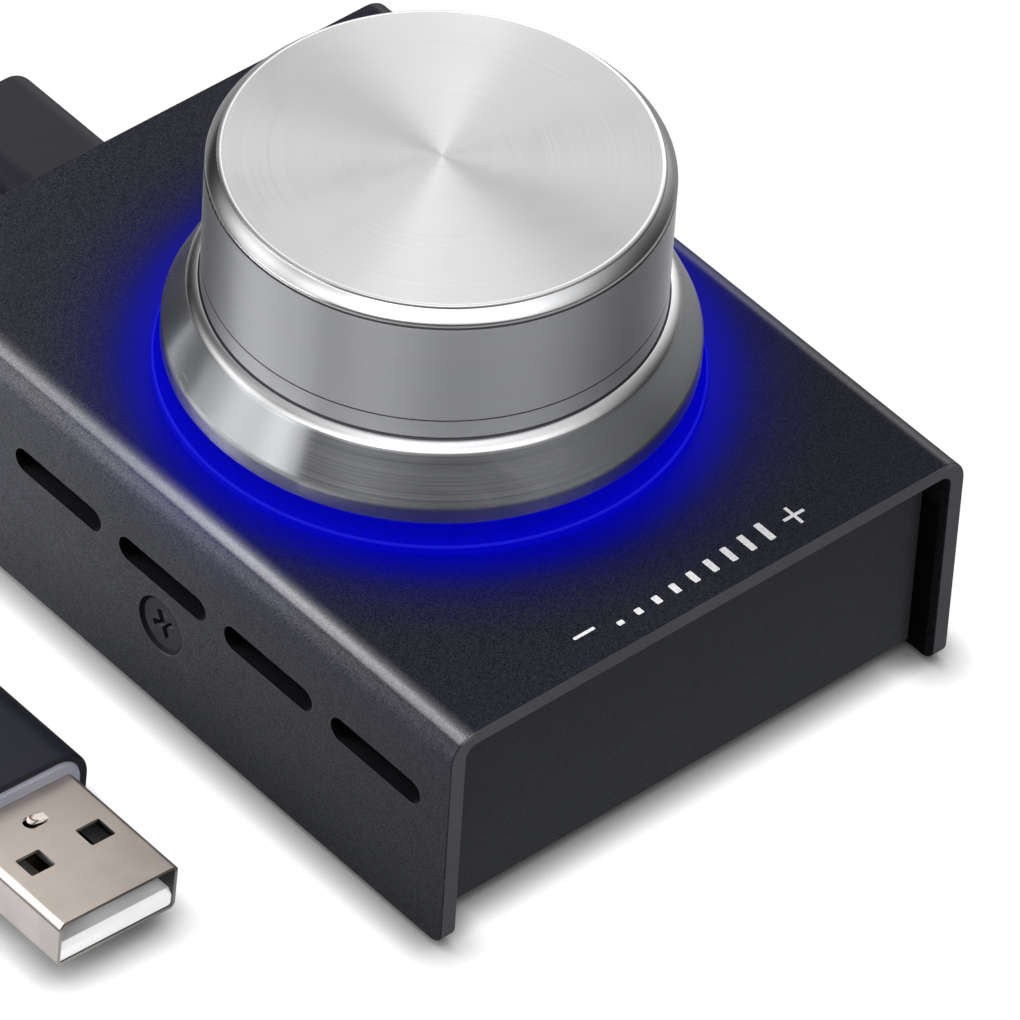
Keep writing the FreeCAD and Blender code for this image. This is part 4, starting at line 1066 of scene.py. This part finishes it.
def blackScrew():
    # Blackened screw: satin head with faint turned rings round its axis, and a recess painted paler as
    # painted light.
    material, tree, shader = newMaterial("blackScrew", Specular_IOR_Level=0.03)
    place = objectCoordinates(tree)
    radius = fromScrewAxis(tree, place)
    rings = noise(tree, joinVector(tree, radius), 9000.0, 2.0, 0.6)
    cloud = ramp(tree, noise(tree, place, 700.0, 3.0, 0.5), 0.3, 0.7)
    base = mixColour(tree, cloud, rgb(0.0078, 0.0082, 0.0095), rgb(0.0110, 0.0114, 0.0130))
    base = mixColour(tree, ramp(tree, rings, 0.35, 0.65, 0.0, 0.3), base, rgb(0.022, 0.0225, 0.025))
    under = ramp(tree, absolute(tree, splitVector(tree, place)[0]), *screwShape["under"], 1.0, 0.0)
    recess = screwShape["recess"]
    # painted light: the deep cross recess is painted paler to lift its shade
    recessPaintedLight = times(tree, ramp(tree, radius, recess, recess + 0.0002, 1.0, 0.0), under)
    base = mixColour(tree, recessPaintedLight, base, rgb(0.026, 0.0265, 0.029))
    dress(tree, shader, base, ramp(tree, rings, 0.3, 0.7, 0.54, 0.64))
    addBump(tree, shader, 0.2, 0.00003, rings)
    return material


domeShape = {"radius": 2.25, "low": 14.9, "rise": 0.55, "thickness": 0.1, "rim": 0.12, "dimple": 0.03,
             "dimpleRadius": 0.35, "rings": 15, "around": 60, "kept": 0.14}


def makeDome(shape, centreY, material):
    # Upper face z = low + rise (1 - (r / R)^2) less a dimple d exp(-(r / w)^2), and a parallel lower face
    # that ends in a flat rim.
    radius, low, rim = shape["radius"], shape["low"], shape["radius"] - shape["rim"]
    outer = np.linspace(0, radius, shape["rings"])
    dimple = shape["dimple"] * np.exp(-(outer / shape["dimpleRadius"]) ** 2)
    upper = low + shape["rise"] * (1 - (outer / radius) ** 2) - dimple
    inner = np.linspace(rim, 0, shape["rings"])
    lower = low + (shape["rise"] - shape["thickness"] - shape["dimple"]) * (1 - (inner / rim) ** 2)
    profile = np.concatenate([np.stack([outer, upper], 1), np.stack([inner, lower], 1)])
    zones = np.zeros(len(profile) - 1, int)
    return latheMesh("snapDome", profile, zones, centreY, shape["around"], [material])


domeSteel = bareMetal("domeSteel", (0.68, 0.67, 0.65), 0.22, "X", 0.4, 0.3, 0.1)
snapDome = makeDome(domeShape, knobShape["axisY"], domeSteel)
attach(snapDome, "case")
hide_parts("switch_dome")
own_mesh(snapDome)

nylonSkin = {"specular": 0.4, "flecks": 5.0, "texture": 0.2, "vary": 0.05, "scuff": 0.05, "subsurface": 0.15,
             "edge": 1.1}
finishes = {
    "top_cover": powderCoat("coverCoat", coverCoat, True),
    "base_tray": powderCoat("trayCoat", trayCoat, False),
    "cover_screws": blackScrew(),
    "rubber_feet": mouldedPlastic("footRubber", (0.018, 0.018, 0.019), 0.80, 0.25, 3.0, 0.7),
    "knob_hub": mouldedPlastic("hubPlastic", (0.035, 0.036, 0.038), 0.45, 0.4),
    "light_guide": guideGlow(),
    "main_board": boardMask(),
    "encoder_frame": bareMetal("castZinc", (0.52, 0.52, 0.54), 0.42, "", 0.8, 0.4, 0.3),
    "encoder_housing": mouldedPlastic("encoderBlack", (0.022, 0.022, 0.024), 0.42, 0.4),
    "encoder_rotor": mouldedPlastic("rotorNylon", (0.74, 0.73, 0.69), 0.45, **nylonSkin),
    "encoder_shaft": bareMetal("shaftSteel", (0.62, 0.62, 0.63), 0.26, "Z", 0.7, 0.4, 0.1),
    "encoder_washer": bareMetal("washerSteel", (0.66, 0.66, 0.65), 0.30, "X", 0.6, 0.4, 0.15),
    "encoder_nut": bareMetal("nutSteel", (0.70, 0.69, 0.67), 0.24, "X", 0.5, 0.5, 0.1),
    "encoder_pins": bareMetal("tinnedPins", (0.74, 0.74, 0.72), 0.34, "Z", 0.5, 0.2, 0.2),
    "switch_housing": mouldedPlastic("switchBlack", (0.018, 0.018, 0.020), 0.50, 0.4),
    "switch_plunger": mouldedPlastic("plungerNylon", (0.72, 0.71, 0.68), 0.42, **nylonSkin),
    "indicator_leds": lampResin(),
    "controller_chip": zoned("chipEpoxy", chipMask, (0.018, 0.018, 0.019), (0.70, 0.70, 0.68),
                              (0.55, 0.32)),
    "crystal": bareMetal("crystalCan", (0.66, 0.66, 0.66), 0.28, "X", 0.5, 0.3, 0.15),
    "board_capacitors": zoned("capacitorCan", canMask, (0.020, 0.020, 0.021), (0.62, 0.63, 0.65),
                              (0.5, 0.3)),
    "board_resistors": zoned("resistorChip", resistorMask, (0.015, 0.015, 0.016), (0.72, 0.72, 0.70),
                              (0.45, 0.35)),
    "usb_socket_shell": bareMetal("socketSteel", (0.70, 0.68, 0.65), 0.24, "Y", 0.6, 0.4, 0.1),
    "usb_socket_tongue": mouldedPlastic("socketBlack", (0.020, 0.020, 0.022), 0.5, 0.4),
    "rear_plug_shell": bareMetal("plugTipSteel", (0.72, 0.70, 0.66), 0.22, "Y", 0.6, 0.4, 0.05),
    "rear_plug_overmold": mouldedPlastic("overmoldDark", (0.0235, 0.0243, 0.0340), 0.46, 0.25,
                                         5.0, 0.15, 0.10, 0.15),
    "a_plug_shell": plugSteel(plugFinish),
    # the last number is how much colour is kept under the painted shade deep in the mouth
    "a_plug_tongue": plugInside("tongueWhite", (0.86, 0.86, 0.87), 0.0, 0.36, 0.0012, 0.0034, 0.18),
    "a_plug_contacts": plugInside("contactGold", (0.86, 0.62, 0.27), 1.0, 0.24, 0.0016, 0.0036, 0.03),
    "a_plug_core": mouldedPlastic("coreGrey", (0.215, 0.22, 0.262), 0.40, 0.4,
                                  6.0, 0.15, 0.05, 0.05, 0.1, 2.0),
    "a_plug_jacket": mouldedPlastic("jacketDark", (0.0200, 0.0205, 0.0320), 0.42, 0.22,
                                    5.0, 0.15, 0.10, 0.12),
}
for node, material in finishes.items():
    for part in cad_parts[node].material_slots:
        part.material = material
print("materials:", len(finishes), "CAD finishes")


floorShape = {"half": 1.6, "below": 0.00002, "shadowReach": 0.0033, "shadowPower": 2.9,
              "seen": 1.0, "mirrored": 0.12, "lit": 0.06, "paper": 0.45,
              "card": 0.28, "cardX": (-0.074, -0.046), "cardY": (-0.034, 0.030), "cardSoft": 0.004}


def makeFloor(shape):
    # A pale square sheet just below table height.
    h, z = shape["half"], -shape["below"]
    points = np.array([(-h, -h, z), (h, -h, z), (h, h, z), (-h, h, z)]) / mm
    material = bpy.data.materials.new("floorPaper")
    material.use_nodes = True
    tree = material.node_tree
    tree.nodes.clear()
    output = tree.nodes.new("ShaderNodeOutputMaterial")
    place = objectCoordinates(tree)
    fibre = ramp(tree, noise(tree, place, 900.0, 3.0), 0.3, 0.7, shape["paper"] * 0.97, shape["paper"] * 1.03)
    seen = tree.nodes.new("ShaderNodeLightPath").outputs
    through = mathNode(tree, "ADD", seen["Is Camera Ray"], seen["Is Transmission Ray"], clamp=True)
    # metal sees a whiter card under and beside the big plug
    axes = splitVector(tree, place)
    card = times(tree, band(tree, axes[0], *shape["cardX"], shape["cardSoft"]),
                    band(tree, axes[1], *shape["cardY"], shape["cardSoft"]))
    mirrored = plus(tree, shape["mirrored"], times(tree, card, shape["card"]))
    level = plus(tree, times(tree, through, shape["seen"] - shape["lit"]),
                     times(tree, seen["Is Glossy Ray"], mirrored))
    # painted shadow: the sheet's glow darkens by ambient occlusion near the object
    near = addNode(tree, "ShaderNodeAmbientOcclusion", {"Distance": shape["shadowReach"]}, samples=12)
    shade = mathNode(tree, "POWER", near.outputs["AO"], shape["shadowPower"])
    shown = {"Color": rgb(1, 1, 1), "Strength": times(tree, shade, level)}
    glow = addNode(tree, "ShaderNodeEmission", shown)
    direct = mathNode(tree, "ADD", through, seen["Is Glossy Ray"], clamp=True)
    dim = mixColour(tree, direct, fibre, scaled((1, 1, 1), shape["lit"] * 2))
    matt = addNode(tree, "ShaderNodeBsdfDiffuse", {"Color": dim})
    total = addNode(tree, "ShaderNodeAddShader", {0: matt.outputs[0], 1: glow.outputs[0]})
    tree.links.new(total.outputs[0], output.inputs["Surface"])
    return meshObject("floor", points, [(0, 1, 2, 3)], [material])


makeFloor(floorShape)

# direction as azimuth (0 is -Y, 90 is +X) and elevation, spread in degrees, and strength
studioPatches = (
    ((-124.0, 2.0), 12.0, 1.10),
    ((-120.0, 4.0), 14.0, 0.85),
    ((-104.0, 6.0), 10.0, 0.85),
    ((-100.0, 10.0), 10.0, 1.40),
    ((-145.0, 12.0), 14.0, 0.10),
    ((-72.0, 38.0), 16.0, 0.62),
    ((16.0, 40.0), 20.0, 0.68),
    ((60.0, 50.0), 26.0, 0.18),
    ((102.0, 26.0), 18.0, 0.38),
    ((126.0, 14.0), 24.0, 1.20),
    ((137.0, 43.0), 22.0, 0.99),
    ((0.0, 88.0), 26.0, 1.00),
    ((-60.0, 62.0), 26.0, 0.48),
    ((20.0, 62.0), 26.0, 0.09),
    # a run of narrow lamps at the height that the knob's polished edges see
    ((-156.0, 20.0), 11.0, 0.24),
    ((-143.0, 27.0), 10.0, 0.82),
    ((-128.0, 32.0), 11.0, 1.05),
    ((-147.0, 50.0), 11.0, 0.35),
    ((-103.0, 38.0), 11.0, 1.10),
    ((-77.0, 44.0), 11.0, 1.00),
    ((-60.0, 47.0), 11.0, 1.00),
    ((-43.0, 47.0), 11.0, 0.95),
    ((-20.0, 45.0), 11.0, 1.00),
    ((0.0, 42.0), 11.0, 0.85),
)
# the first lamps on the left end at a straight upright edge
shutter = {"lamps": 4, "azimuth": -90.5, "soft": 0.05}


def directionOf(azimuth, elevation):
    a, e = math.radians(azimuth), math.radians(elevation)
    return Vector((math.sin(a) * math.cos(e), -math.cos(a) * math.cos(e), math.sin(e)))


def makePatch():
    # One soft lamp far away: level = strength exp(2 (d.p - 1) / spread^2), spread in radians.
    group, given, out = newGroup(
        "lampPatch",
        [("Direction", "vector", None), ("Towards", "vector", None), ("Spread", "value", 0.4),
         ("Strength", "value", 1.0)],
        [("Level", "value")])
    cosine = dot(group, given["Direction"], given["Towards"])
    width = times(group, given["Spread"], given["Spread"])
    fall = times(group, mathNode(group, "SUBTRACT", cosine, 1.0), 2.0)
    power = mathNode(group, "DIVIDE", fall, width)
    level = times(group, mathNode(group, "EXPONENT", power), given["Strength"])
    group.links.new(level, out["Level"])
    return group


def makeWorld(patches):
    # White to the camera. Everything else sees a dim room with soft lamps that add up.
    world = bpy.data.worlds.new("studio")
    world.use_nodes = True
    tree = world.node_tree
    tree.nodes.clear()
    output = tree.nodes.new("ShaderNodeOutputWorld")
    direction = tree.nodes.new("ShaderNodeTexCoord").outputs["Generated"]
    group = makePatch()
    ahead = dot(tree, direction, tuple(directionOf(shutter["azimuth"] - 90, 0)))
    shade = ramp(tree, ahead, -shutter["soft"] / 2, shutter["soft"] / 2)
    value = 0.0
    for k, ((azimuth, elevation), spread, strength) in enumerate(patches):
        patch = useGroup(tree, group, Direction=direction, Towards=tuple(directionOf(azimuth, elevation)),
                         Spread=math.radians(spread), Strength=strength)
        level = patch["Level"]
        if k < shutter["lamps"]:
            level = times(tree, level, shade)
        value = plus(tree, value, level)
    seen = tree.nodes.new("ShaderNodeLightPath").outputs["Is Camera Ray"]
    strength = addNode(tree, "ShaderNodeMix", {0: seen, 2: value, 3: 1.0}).outputs[0]
    background = addNode(tree, "ShaderNodeBackground", {"Color": rgb(1, 1, 1), "Strength": strength})
    tree.links.new(background.outputs[0], output.inputs["Surface"])
    bpy.context.scene.world = world


makeWorld(studioPatches)

studioLamps = {
    "leftStrip": {"azimuth": -139.0, "elevation": 46.0, "distance": 0.26, "size": (0.052, 0.095),
                  "power": 0.25},
    "leftSoft": {"azimuth": -135.0, "elevation": 3.0, "distance": 0.13, "size": (0.11, 0.08), "power": 0.86},
    "frontSoft": {"azimuth": 10.0, "elevation": 10.0, "distance": 0.50, "size": (0.30, 0.16), "power": 1.7},
}


def makeLamp(name, lamp):
    data = bpy.data.lights.new(name, "AREA")
    data.shape = "RECTANGLE"
    data.size, data.size_y = lamp["size"]
    data.energy = lamp["power"]
    light = link(bpy.data.objects.new(name, data))
    towards = directionOf(lamp["azimuth"], lamp["elevation"])
    aim = Vector((0, 0, 0.02))
    light.location = aim + towards * lamp["distance"]
    light.rotation_euler = towards.to_track_quat("Z", "Y").to_euler()
    # this lamp leaves the knob, the cable and the plugs' mouldings to the room's own lamps
    spared = bpy.data.collections.new(name + "Spares")
    mouldings = [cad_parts[node] for node in ("a_plug_jacket", "rear_plug_overmold")]
    for piece in (knob, usbCable, cableTie, *mouldings):
        spared.objects.link(piece)
    for member in spared.collection_objects:
        member.light_linking.link_state = "EXCLUDE"
    light.light_linking.receiver_collection = spared


for name, lamp in studioLamps.items():
    makeLamp(name, lamp)
bpy.context.scene.view_settings.view_transform = "Standard"
print("studio lit")
